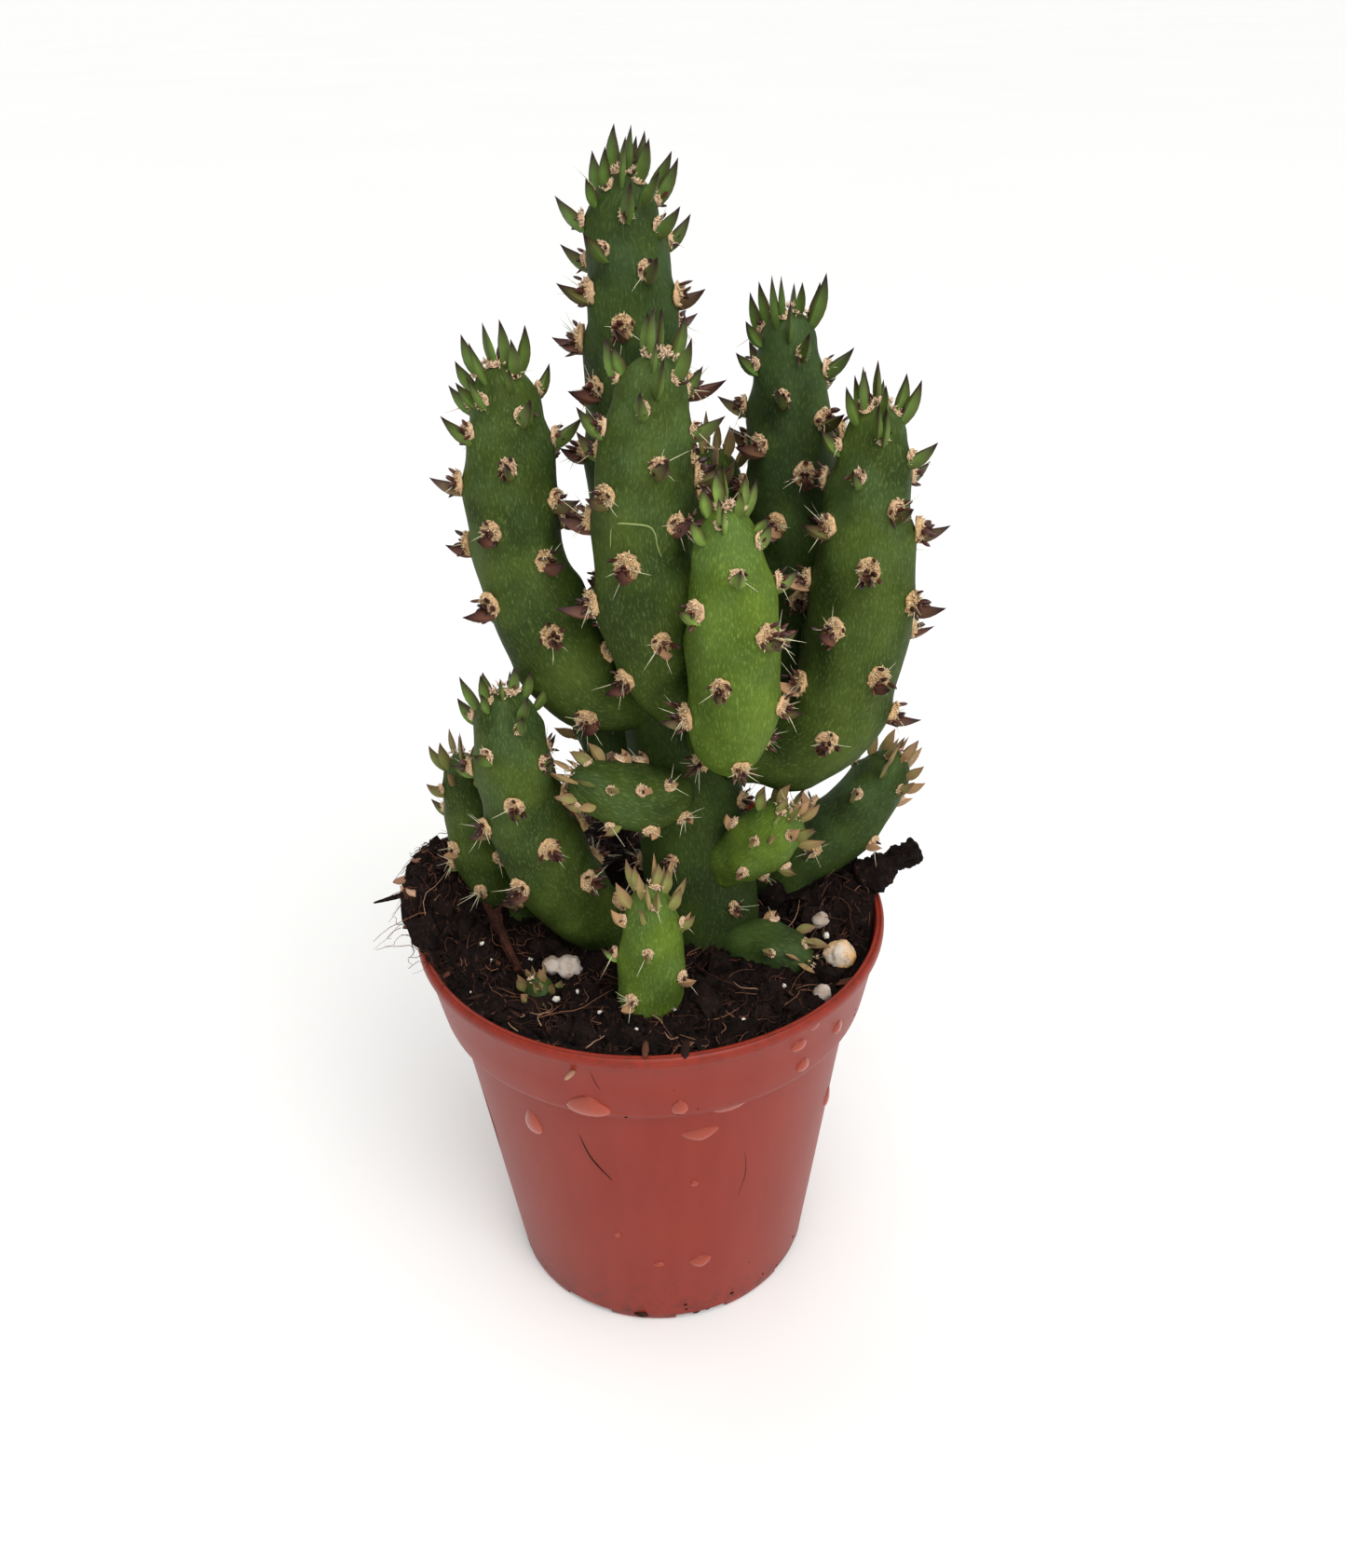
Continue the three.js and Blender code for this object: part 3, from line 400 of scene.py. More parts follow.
def smooth_path(points, rows):
    """A Catmull-Rom curve through the points, as rows + 1 points or points with a radius."""
    points = np.array(points, float)
    ends = np.vstack([2 * points[0] - points[1], points, 2 * points[-1] - points[-2]])
    place = np.arange(rows + 1) / rows * (len(points) - 1)
    index = np.minimum(place.astype(int), len(points) - 2)
    share = (place - index)[:, None]
    before, start, end, after = (ends[index + i] for i in range(4))
    leave = 0.5 * (end - before)
    arrive = 0.5 * (after - start)
    square = -3 * start + 3 * end - 2 * leave - arrive
    cube = 2 * start - 2 * end + leave + arrive
    return start + leave * share + square * share**2 + cube * share**3


def bend_rod(points, path, radii):
    """The points of a unit rod laid along a path, with a radius at each of the path's points."""
    rows = len(path) - 1
    along = unit(np.gradient(path, axis=0))
    side = np.zeros_like(path)
    start = np.cross(along[0], (0.0, 0.0, 1.0))
    if np.linalg.norm(start) < 0.1:
        start = np.cross(along[0], (0.0, 1.0, 0.0))
    for i in range(rows + 1):
        start = start - along[i] * start.dot(along[i])
        start = start / np.linalg.norm(start)
        side[i] = start
    across = np.cross(along, side)
    row = np.rint((points[:, 2] + 0.5) * rows).astype(int)
    radius = np.asarray(radii)[row][:, None]
    return path[row] + side[row] * points[:, 0:1] * radius + across[row] * points[:, 1:2] * radius


def turns(rng, count):
    """Random turning matrices."""
    quats = unit(rng.normal(size=(count, 4)))
    w, x, y, z = quats.T
    return np.stack([
        np.stack([1 - 2 * (y * y + z * z), 2 * (x * y - z * w), 2 * (x * z + y * w)], -1),
        np.stack([2 * (x * y + z * w), 1 - 2 * (x * x + z * z), 2 * (y * z - x * w)], -1),
        np.stack([2 * (x * z - y * w), 2 * (y * z + x * w), 1 - 2 * (x * x + y * y)], -1),
    ], 1)


# Soil surface and stems, by the same rules as in the CAD


def soil_height(x, y):
    height = SOIL_LEVEL + 0.0 * np.asarray(x, float)
    for centre_x, centre_y, spread, rise in MOUNDS:
        away = ((x - centre_x) ** 2 + (y - centre_y) ** 2) / spread**2
        height = height + rise * np.exp(-away)
    return height


def inner_radius(z):
    """The radius of the pot's inner face at a height."""
    collar_foot = POT_HEIGHT - COLLAR_HEIGHT
    levels = [FLOOR_TOP, collar_foot - 1.0, collar_foot + 0.6, POT_HEIGHT]
    radii = [FOOT_RADIUS - WALL + 0.4, SHOULDER_RADIUS - WALL, COLLAR_FOOT_RADIUS - WALL, RIM_RADIUS - WALL]
    return np.interp(z, levels, radii)


class Stem:
    """A stem's axis with radius and side vectors, sampled from foot to tip."""

    def __init__(self, number, row):
        (self.name, self.slot, axis, self.turn, self.divergence, self.phase, self.pitch, self.crowd,
         self.leaf_top, self.leaf_foot, self.dryness) = row
        self.seed = number
        path = smooth_path(axis, SAMPLES)
        self.at = path[:, :3]
        self.radius = path[:, 3]
        before = self.at[np.maximum(np.arange(SAMPLES + 1) - 1, 0)]
        after = self.at[np.minimum(np.arange(SAMPLES + 1) + 1, SAMPLES)]
        self.along = unit(after - before)
        self.side = np.zeros_like(self.at)
        self.left = np.zeros(SAMPLES + 1)
        side = np.array([0.0, -1.0, 0.0])
        for i in range(SAMPLES, -1, -1):
            side = side - self.along[i] * side.dot(self.along[i])
            side = side / np.linalg.norm(side)
            self.side[i] = side
            if i < SAMPLES:
                self.left[i] = self.left[i + 1] + np.linalg.norm(self.at[i + 1] - self.at[i])
        self.across = np.cross(self.along, self.side)
        self.length = self.left[0]
        self.areoles = []

    def sample(self, from_tip):
        """Place, radius and directions on the axis at lengths from the tip."""
        lengths = self.left[::-1]

        def at_lengths(values):
            values = values[::-1]
            return np.stack([np.interp(from_tip, lengths, values[:, k]) for k in range(3)], -1)

        radius = np.interp(from_tip, lengths, self.radius[::-1])
        side, across = unit(at_lengths(self.side)), unit(at_lengths(self.across))
        return at_lengths(self.at), radius, unit(at_lengths(self.along)), side, across

    def distance(self, index):
        return self.pitch * (index + 0.5) ** self.crowd

    def bearing(self, index):
        return math.radians(self.phase + self.turn * self.divergence * index)

    def surface(self, from_tip, bearing, lift=0.0):
        """Points on the bare round skin, lifted by some height, and the outward normals there."""
        at, radius, along, side, across = self.sample(from_tip)
        outward = side * np.cos(bearing)[..., None] + across * np.sin(bearing)[..., None]
        share = np.minimum(1.0, from_tip / DOME_ZONE)[..., None]
        reach = radius[..., None] * np.sqrt(1 - (1 - share) ** 2)
        rise = radius[..., None] * DOME_SHARE * (1 - share)
        normal = unit(along * (1 - share) + outward * share)
        point = at + outward * reach + along * rise + normal * np.asarray(lift)[..., None]
        return point, normal, outward, along

    def relief(self, from_tip, bearing, height):
        """The height of the tubercles over the round stem."""
        radius = np.interp(from_tip, self.left[::-1], self.radius[::-1])
        swell = np.zeros_like(from_tip)
        index = 0
        while self.distance(index) < self.length + TUBERCLE_BELOW:
            away = from_tip - self.distance(index)
            turned = (bearing - self.bearing(index) + math.pi) % (2 * math.pi) - math.pi
            squeeze = min(1.0, 0.35 + self.distance(index) / 12.0)
            reach = np.where(away > 0, TUBERCLE_BELOW, TUBERCLE_ABOVE) * squeeze
            wide = TUBERCLE_ACROSS * squeeze
            bump = np.exp(-((away / reach) ** 2) - (turned * radius / wide) ** 2)
            swell = np.maximum(swell, bump * (0.45 + 0.55 * squeeze))
            index += 1
        return height * (swell - TUBERCLE_SUNK)


def leaf_line(place, length, lean):
    """Root, heel, belly and tip of a leaf's middle line, with its side and its inner face's direction."""
    at, normal, outward, along, from_tip = place

    def direction(angle):
        return along * math.cos(angle) + outward * math.sin(angle)

    heel = at - along * 0.7 * min(1.0, from_tip / DOME_ZONE)
    return {
        "root": heel - normal * ROOT_DEPTH,
        "heel": heel,
        "belly": heel + direction(lean + BELLY_OUT) * length * 0.45,
        "tip": heel + direction(lean) * length,
        "sideways": unit(np.cross(along, outward)),
        "inner": direction(lean - math.pi / 2),
        "length": length,
    }


def balls_along(start, end, thick, thin):
    shares = np.array([0.25, 0.5, 0.75, 1.0])
    return start + (end - start) * shares[:, None], thick + (thin - thick) * shares


def plan_areoles(stems):
    """Where each areole sits and which leaf and spine it has, kept clear of neighbours by the CAD's rule."""
    axis_at = np.concatenate([stem.at[::2] for stem in stems])
    axis_radius = np.concatenate([stem.radius[::2] for stem in stems])
    axis_owner = np.repeat(np.arange(len(stems)), len(stems[0].at[::2]))
    placed_at, placed_radius, placed_owner = [], [], []
    loose_at, loose_radius = loose_balls()

    def clear(owner, at, radius):
        if np.any(at[:, 2] - radius < soil_height(at[:, 0], at[:, 1]) + CLEARANCE):
            return False
        others = axis_owner != owner
        gap = np.linalg.norm(axis_at[others][None] - at[:, None], axis=2) - radius[:, None]
        if np.any(gap < axis_radius[others] + FREE_GAP):
            return False
        away = np.linalg.norm(loose_at[None] - at[:, None], axis=2)
        if np.any(away < loose_radius + radius[:, None] + CLEARANCE):
            return False
        if placed_at:
            mine = np.concatenate(placed_owner) != owner
            far = np.linalg.norm(np.concatenate(placed_at)[mine][None] - at[:, None], axis=2)
            if np.any(far < np.concatenate(placed_radius)[mine] + radius[:, None] + CLEARANCE):
                return False
        return True

    def keep(owner, at, radius):
        placed_at.append(at)
        placed_radius.append(radius)
        placed_owner.append(np.full(len(at), owner))

    for owner, stem in enumerate(stems):
        index = -1
        while stem.distance(index + 1) < stem.length:
            index += 1
            from_tip = stem.distance(index)
            bearing = stem.bearing(index)
            at, normal, outward, along = stem.surface(np.array(from_tip), np.array(bearing))
            place = (at, normal, outward, along, from_tip)
            if at[2] < soil_height(at[0], at[1]) + SOIL_FREE:
                continue
            pad = at[None], np.array([CUSHION_RADIUS])
            if not clear(owner, *pad):
                continue
            keep(owner, *pad)
            lean_deg = 8 + 38 * float(smoothstep(from_tip, 0, 4)) + 24 * float(smoothstep(from_tip, 4, 14))
            lean = math.radians(lean_deg)
            length = stem.leaf_top + (stem.leaf_foot - stem.leaf_top) * from_tip / stem.length
            length *= 0.85 + 0.3 * draw(stem.seed, index)
            leaf = None
            for raised, shortened in [(0, 1), (0.2, 0.9), (0.35, 0.75), (0.5, 0.6), (0.2, 0.5)]:
                size = length * shortened
                if size < SHORTEST_LEAF:
                    continue
                line = leaf_line(place, size, max(0.1, lean - raised))
                low = balls_along(line["root"], line["belly"], LEAF_BALL, LEAF_BALL)
                high = balls_along(line["belly"], line["tip"], LEAF_BALL, 0.1)
                balls = np.concatenate([low[0], high[0]]), np.concatenate([low[1], high[1]])
                if clear(owner, *balls):
                    leaf = line
                    keep(owner, *balls)
                    break
            sideways = unit(np.cross(along, normal))
            needle = None
            if index % NEEDLE_EVERY == 2 and from_tip > CUSHION_FROM:
                swing = (draw(stem.seed, index + 500) - 0.5) * 1.6
                direction = unit(normal + sideways * swing - along * 0.35)
                balls = balls_along(at, at + direction * NEEDLE_LENGTH, NEEDLE_BALL, NEEDLE_BALL)
                if clear(owner, *balls):
                    needle = direction
                    keep(owner, *balls)
            stem.areoles.append({
                "at": at, "normal": normal, "along": along,
                "sideways": sideways, "from_tip": from_tip, "bearing": bearing, "leaf": leaf,
                "needle": needle,
            })


# The loose pieces lying on the soil and their prongs: start, end and half thickness
PEAT_CHUNK = ((24.5, 0.8, 51.9), (32.5, 3.6, 54), 1.6)
DRY_STALK = ((-15.2, -9.6, 48.4), (-18.4, -2.8, 52.4), 0.9)
ROOT_STRAND = ((-27.6, 2.8, 51.6), (-32.9, 1.6, 50.9), 0.45)
PEAT_PRONGS = [((31.2, 3.0, 54.0), (32.0, 3.0, 55.3), 0.6), ((31.4, 3.4, 53.2), (32.4, 3.6, 52.3), 0.55),
               ((28.6, 2.2, 53.6), (28.9, 2.2, 55.0), 0.35), ((26.0, 1.3, 52.6), (26.6, 1.5, 54.4), 0.5)]
STALK_PRONGS = [((-18.0, -3.6, 51.9), (-19.3, -2.6, 53.4), 0.42),
                ((-18.0, -3.6, 51.9), (-17.0, -2.5, 53.0), 0.4)]


def loose_balls():
    """Balls round the loose pieces, which leaves keep clear of."""
    at = [grain[1] for grain in GRAINS]
    radius = [max(grain[2]) * 1.1 for grain in GRAINS]
    for start, end, thick in (PEAT_CHUNK, DRY_STALK, ROOT_STRAND):
        for share in (0, 0.25, 0.5, 0.75, 1):
            at.append(tuple(a + (b - a) * share for a, b in zip(start, end)))
            radius.append(thick * 1.15)
    return np.array(at, float), np.array(radius)


# Materials


BLACK = linear("#000000")
WHITE = linear("#ffffff")

# Shader nodes by short name: the type, the inputs in the order given, the output that is read, and settings
NODES = {
    "attribute": ("ShaderNodeAttribute", (), "Vector", {}),
    "bump": ("ShaderNodeBump", ("Height", "Distance", "Strength"), "Normal", {}),
    "mix": ("ShaderNodeMix", (0, 6, 7), 2, {"data_type": "RGBA"}),
    "multiply": ("ShaderNodeMath", (0, 1), 0, {"operation": "MULTIPLY"}),
    "multiply_add": ("ShaderNodeMath", (0, 1, 2), 0, {"operation": "MULTIPLY_ADD"}),
    "noise": ("ShaderNodeTexNoise", ("Vector", "Scale", "Detail", "Roughness"), "Fac", {}),
    "place": ("ShaderNodeTexCoord", (), "Object", {}),
    "ramp": ("ShaderNodeValToRGB", (0,), 0, {}),
    "split": ("ShaderNodeSeparateXYZ", (0,), None, {}),
    "stretch": ("ShaderNodeMapping", ("Vector", "Scale"), 0, {}),
}


def add_node(tree, kind, *inputs, stops=(), **settings):
    """Adds a node and gives its output; an input is a value or a socket, and stops are a ramp's."""
    type_name, keys, output, fixed = NODES[kind]
    node = tree.nodes.new(type_name)
    for key, value in {**fixed, **settings}.items():
        setattr(node, key, value)
    for key, value in zip(keys, inputs):
        if isinstance(value, bpy.types.NodeSocket):
            tree.links.new(value, node.inputs[key])
        else:
            node.inputs[key].default_value = value
    for number, (position, colour) in enumerate(stops):
        elements = node.color_ramp.elements
        element = elements[number] if number < 2 else elements.new(position)
        element.position = position
        element.color = colour
    return node.outputs if output is None else node.outputs[output]


def new_material(name, **constants):
    """A node material, its tree and its shader; the constants are set straight on the shader."""
    material = bpy.data.materials.new(name)
    material.use_nodes = True
    tree = material.node_tree
    shader = next(node for node in tree.nodes if node.type == "BSDF_PRINCIPLED")
    for key, value in constants.items():
        shader.inputs[key.replace("_", " ").title().replace("Ior", "IOR")].default_value = value
    return material, tree, shader


def paint(tree, shader, tint, normal=None):
    """Feeds the shader its colour and, where the surface has relief, its normal."""
    tree.links.new(tint, shader.inputs["Base Color"])
    if normal is not None:
        tree.links.new(normal, shader.inputs["Normal"])


def per_mm(count):
    """Pattern scale on Object coordinates, which are metres, for so many cells in a millimetre."""
    return count / MM


def grey(value):
    return (value, value, value, 1.0)


def plastic_material(colour):
    # Injection-moulded polypropylene: an even terracotta colour with a satin, faintly streaked skin, dusty
    # with dried soil near the rim and the foot
    material, tree, shader = new_material("moulded_polypropylene", roughness=0.42, ior=1.49,
                                          specular_ior_level=0.24)
    place = add_node(tree, "place")
    streaks = add_node(tree, "stretch", place, (1.0, 1.0, 0.12))
    flow = add_node(tree, "noise", streaks, per_mm(0.35), 3.0)
    cloudy = add_node(tree, "noise", place, per_mm(0.09))
    streaky = add_node(tree, "ramp", flow, stops=[(0.35, BLACK), (0.75, grey(0.35))])
    tint = add_node(tree, "mix", cloudy, linear("#7d2518"), colour)
    tint = add_node(tree, "mix", streaky, tint, linear("#923527"))
    share = add_node(tree, "multiply", add_node(tree, "split", place)[2], 1.0 / (POT_HEIGHT * MM))
    splashed = add_node(tree, "ramp", share, stops=[(0.0, WHITE), (0.1, grey(0.25)), (0.3, BLACK),
                                                    (0.93, BLACK), (1.0, grey(0.5))])
    grime = add_node(tree, "noise", place, per_mm(0.8), 4.0, 0.65)
    grimy = add_node(tree, "ramp", grime, stops=[(0.45, BLACK), (0.7, WHITE)])
    dusty = add_node(tree, "multiply", splashed, grimy)
    tint = add_node(tree, "mix", dusty, tint, linear("#4e261c"))
    dimples = add_node(tree, "noise", place, per_mm(2.5), 3.0)
    paint(tree, shader, tint, add_node(tree, "bump", dimples, 0.02 * MM, 0.35))
    return material


def water_material():
    # Rain water standing on plastic: it brightens the colour behind it and glints; the light that it would
    # gather on the wall is painted in as a warmer, lighter body with a darker upper edge
    material, tree, shader = new_material("water_drop", roughness=0.12, ior=1.333, coat_weight=0.2,
                                          coat_roughness=0.03)
    height = add_node(tree, "split", add_node(tree, "attribute", attribute_name="drop_place"))[2]
    tint = add_node(tree, "ramp", height, stops=[(0.0, linear("#ab4c38")), (0.35, linear("#a04431")),
                                                 (0.75, linear("#8c3827")), (0.95, linear("#64261c"))])
    paint(tree, shader, tint)
    return material


def peat_material(name, dark, light, fibre):
    # Peat-based potting soil: near black where damp, dull brown where dry, with brown fibres through it
    material, tree, shader = new_material(name, roughness=0.9, specular_ior_level=0.12)
    place = add_node(tree, "place")
    clods = add_node(tree, "noise", place, per_mm(0.45), 4.0, 0.65)
    crumbs = add_node(tree, "noise", place, per_mm(2.2), 3.0, 0.7)
    threads = add_node(tree, "stretch", place, (1.0, 0.25, 0.6))
    fibres = add_node(tree, "noise", threads, per_mm(3.0), 2.0, 0.6)
    dry = add_node(tree, "ramp", clods, stops=[(0.35, BLACK), (0.7, WHITE)])
    crumbly = add_node(tree, "ramp", crumbs, stops=[(0.5, BLACK), (0.75, grey(0.55))])
    stringy = add_node(tree, "ramp", fibres, stops=[(0.62, BLACK), (0.72, grey(0.5))])
    tint = add_node(tree, "mix", dry, dark, light)
    tint = add_node(tree, "mix", crumbly, tint, linear(fibre))
    tint = add_node(tree, "mix", stringy, tint, linear("#5a3526"))
    paint(tree, shader, tint, add_node(tree, "bump", crumbs, 0.25 * MM, 0.8))
    return material


def fibre_material():
    # Coir and root fibres: brown to straw, each with its own shade, dull
    material, tree, shader = new_material("root_fibre", roughness=0.85, specular_ior_level=0.15)
    shade = add_node(tree, "split", add_node(tree, "attribute", attribute_name="shade"))[0]
    tint = add_node(tree, "ramp", shade, stops=[(0.0, linear("#120a08")), (0.45, linear("#38221a")),
                                                (0.75, linear("#68402f")), (1.0, linear("#bb9478"))])
    paint(tree, shader, tint)
    return material


def perlite_material(name, light, dark, stain):
    # Expanded perlite: chalky white glass foam with dirt in its pores
    material, tree, shader = new_material(name, roughness=0.9)
    place = add_node(tree, "place")
    pores = add_node(tree, "noise", place, per_mm(1.6), 4.0, 0.7)
    broad = add_node(tree, "noise", place, per_mm(0.4), 1.0)
    stained = add_node(tree, "ramp", broad, stops=[(0.4, BLACK), (0.62, WHITE)])
    dirty = add_node(tree, "ramp", pores, stops=[(0.56, BLACK), (0.72, WHITE)])
    tint = add_node(tree, "mix", stained, linear(light), linear(stain))
    tint = add_node(tree, "mix", dirty, tint, linear(dark))
    paint(tree, shader, tint, add_node(tree, "bump", pores, 0.3 * MM, 0.7))
    return material


def skin_material(name, dark, light, pale):
    # Living cactus skin under a waxy bloom: mottled green with fine pale flecks that run along the stem, and
    # a bluish bloom near the tip. The flecks are 0.1 mm wide and drawn twice as wide to show
    material, tree, shader = new_material(name, roughness=0.62, ior=1.42, specular_ior_level=0.12)
    straight = add_node(tree, "attribute", attribute_name="straight")
    swell, from_tip, _ = add_node(tree, "split", add_node(tree, "attribute", attribute_name="swell"))
    mottle = add_node(tree, "noise", straight, 0.17, 3.0)
    mottled = add_node(tree, "ramp", mottle, stops=[(0.36, BLACK), (0.66, WHITE)])
    # Tubercles are drawn in the lighter green: painted light on the swellings and painted shade on the skin
    # between them
    raised = add_node(tree, "ramp", swell, stops=[(0.1, BLACK), (0.9, grey(0.3))])
    tint = add_node(tree, "mix", mottled, dark, light)
    tint = add_node(tree, "mix", raised, tint, light)
    bloom = add_node(tree, "noise", straight, 0.22)
    patchy = add_node(tree, "ramp", bloom, stops=[(0.42, BLACK), (0.62, WHITE)])
    young = add_node(tree, "ramp", from_tip,
                     stops=[(0.0, grey(0.3)), (9.0 / BLOOM_REACH, grey(0.2)), (1.0, BLACK)])
    tint = add_node(tree, "mix", add_node(tree, "multiply", young, patchy), tint, linear("#506a42"))
    along = add_node(tree, "stretch", straight, (5.2, 5.2, 1.7))
    flecks = add_node(tree, "noise", along, 1.0, 2.0, 0.65)
    # Where the fleck pattern is low the skin is mixed toward the dark green: painted shade in the fine
    # grooves between the pale flecks
    hollow = add_node(tree, "ramp", flecks, stops=[(0.3, grey(0.35)), (0.45, BLACK)])
    fleck = add_node(tree, "ramp", flecks, stops=[(0.53, BLACK), (0.74, grey(0.5))])
    tint = add_node(tree, "mix", hollow, tint, dark)
    tint = add_node(tree, "mix", fleck, tint, pale)
    paint(tree, shader, tint, add_node(tree, "bump", flecks, 0.04 * MM, 0.4))
    return material


def scar_material():
    # Healed skin: a thin corky line, paler and duller than the green round it
    material, tree, shader = new_material("healed_skin", roughness=0.8, specular_ior_level=0.15)
    mottle = add_node(tree, "noise", add_node(tree, "place"), per_mm(2.0))
    paint(tree, shader, add_node(tree, "mix", mottle, linear("#76854c"), linear("#94a064")))
    return material


def leaf_material(young, old, tip):
    # Fleshy awl leaf: green with a purple-brown seam and a dark point, olive and brown with age, and tan
    # once dry; the seam is darkened beyond its own colour as painted shade along the leaf's outline
    material, tree, shader = new_material("awl_leaf", roughness=0.5, ior=1.42, specular_ior_level=0.22)
    along, edge, age = add_node(tree, "split", add_node(tree, "attribute", attribute_name="leaf_place"))
    bright, dry, _ = add_node(tree, "split", add_node(tree, "attribute", attribute_name="leaf_kind"))
    blotch = add_node(tree, "noise", add_node(tree, "place"), per_mm(0.7))
    blotched = add_node(tree, "ramp", blotch, stops=[(0.4, BLACK), (0.65, grey(0.5))])
    green = add_node(tree, "mix", bright, young, linear("#7f9a48"))
    green = add_node(tree, "mix", blotched, green, linear("#5f7a34"))
    aged = add_node(tree, "multiply_add", blotch, 0.35, age)
    ageing = add_node(tree, "ramp", aged, stops=[(0.3, BLACK), (0.95, WHITE)])
    # Seam darkness by corner: partly the leaf's purple-brown margin, partly painted shade along the leaf's
    # outline
    seam_and_outline_shade = add_node(tree, "ramp", edge, stops=[(0.5, BLACK), (0.95, grey(0.8))])
    point = add_node(tree, "ramp", along, stops=[(0.45, BLACK), (0.68, grey(0.45)), (0.9, WHITE)])
    tint = add_node(tree, "mix", ageing, green, old)
    tint = add_node(tree, "mix", seam_and_outline_shade, tint, linear("#3f201c"))
    tint = add_node(tree, "mix", point, tint, tip)
    paint(tree, shader, add_node(tree, "mix", dry, tint, linear("#b48a66")))
    return material


def wool_material(colour):
    # Areole wool: matted tan hairs, soft and dull, each paler or pinker by its own shade, with painted shade
    # in patches for the gaps down between the hairs
    material, tree, shader = new_material("areole_wool", roughness=0.95, specular_ior_level=0.2)
    pale, pink, _ = add_node(tree, "split", add_node(tree, "attribute", attribute_name="shade"))
    hairs = add_node(tree, "noise", add_node(tree, "place"), per_mm(3.5), 3.0, 0.7)
    # Painted shade: patches of the wool are mixed toward a darker brown where the gaps between the hairs lie
    # in shade
    hair_gap_shade = add_node(tree, "ramp", hairs, stops=[(0.35, BLACK), (0.6, WHITE)])
    tint = add_node(tree, "mix", hair_gap_shade, linear("#a07a52"), colour)
    tint = add_node(tree, "mix", pale, tint, linear("#f4dcb4"))
    tint = add_node(tree, "mix", pink, tint, linear("#e8c8ae"))
    paint(tree, shader, tint, add_node(tree, "bump", hairs, 0.15 * MM, 0.8))
    return material


def bud_scale_material(colour):
    # Dark bud scales in the wool: small horny points, maroon to black with a satin gloss
    material, tree, shader = new_material("bud_scale", roughness=0.4)
    dark, brown, _ = add_node(tree, "split", add_node(tree, "attribute", attribute_name="shade"))
    tint = add_node(tree, "mix", dark, colour, linear("#170807"))
    paint(tree, shader, add_node(tree, "mix", brown, tint, linear("#7c4230")))
    return material


def spine_material(colour):
    # Spines: pale horn clouded with straw
    material, tree, shader = new_material("spine_horn", roughness=0.45)
    cloudy = add_node(tree, "noise", add_node(tree, "place"), per_mm(0.8))
    paint(tree, shader, add_node(tree, "mix", cloudy, colour, linear("#cfc79c")))
    return material


def floor_material():
    # Studio floor: matt white board
    material, tree, shader = new_material("studio_board", roughness=0.9, specular_ior_level=0.2)
    cloudy = add_node(tree, "noise", add_node(tree, "place"), 3.0)
    paint(tree, shader, add_node(tree, "mix", cloudy, linear("#eeeeec"), linear("#f2f2f0")))
    return material


# Settings


def size_setting(name, description, default):
    return FloatProperty(name=name, description=description, default=default, unit="LENGTH",
                         subtype="DISTANCE")


def colour_setting(name, description, hex_colour):
    return FloatVectorProperty(name=name, description=description, default=linear(hex_colour)[:3], size=3,
                               subtype="COLOR")


class CactusPotSettings(bpy.types.PropertyGroup):
    """Pot."""

    rim_radius: size_setting("Rim radius", "Outer radius of the lip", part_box("pot")[1].x)
    height: size_setting("Height", "Height of the pot over the ground plane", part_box("pot")[1].z)
    sides: IntProperty(name="Sides", description="Faces round the pot", default=128, min=24)
    drop_height: size_setting("Drop height", "How far a broad water drop stands off the wall", 0.0004)
    colour: colour_setting("Plastic", "Colour of the moulded plastic", "#882a1a")


class CactusSoilSettings(bpy.types.PropertyGroup):
    """Soil."""

    lump: size_setting("Lumps", "Height of the soil's lumps", 0.0016)
    crumbs: IntProperty(name="Crumbs", description="Loose crumbs on the soil", default=4200, min=1)
    fibres: IntProperty(name="Fibres", description="Root and coir fibres in the soil", default=1500, min=1)
    dark: colour_setting("Damp soil", "Colour of damp soil", "#090504")
    light: colour_setting("Dry soil", "Colour of dry soil", "#1a110e")


class CactusStemSettings(bpy.types.PropertyGroup):
    """Stems."""

    sides: IntProperty(name="Sides", description="Faces round a stem", default=72, min=12)
    row_step: size_setting("Row step", "Length of the faces along a stem", 0.00045)
    tubercle: size_setting("Tubercles", "Height of the swellings that carry the areoles", 0.0005)
    green: colour_setting("Green", "Skin of most stems", "#45551f")
    dark_green: colour_setting("Dark green", "Skin of the trunk and the back stems", "#384a1c")
    bright_green: colour_setting("Bright green", "Skin of the young front stems", "#5a7024")


class CactusAreoleSettings(bpy.types.PropertyGroup):
    """Areoles."""

    wool_radius: size_setting("Wool radius", "Radius of a grown areole's wool", 0.00135)
    wisps: IntProperty(name="Wisps", description="Wisps of hair on a grown areole", default=90, min=1)
    spine_length: size_setting("Spine length", "Length of a full spine", 0.0028)
    wool: colour_setting("Wool", "Colour of the wool", "#d6b07e")
    scale: colour_setting("Bud scales", "Colour of the bud scales", "#3c1512")
    spine: colour_setting("Spines", "Colour of the spines", "#dfdcbf")


class CactusLeafSettings(bpy.types.PropertyGroup):
    """Leaves."""

    width: size_setting("Width", "Width of a full leaf", 0.0018)
    thickness: size_setting("Thickness", "Thickness of a full leaf", 0.0015)
    young: colour_setting("Young", "Colour of young leaves", "#4d682a")
    old: colour_setting("Old", "Colour of old leaves", "#6b4638")
    tip: colour_setting("Point", "Colour of the leaves' points", "#2a1417")


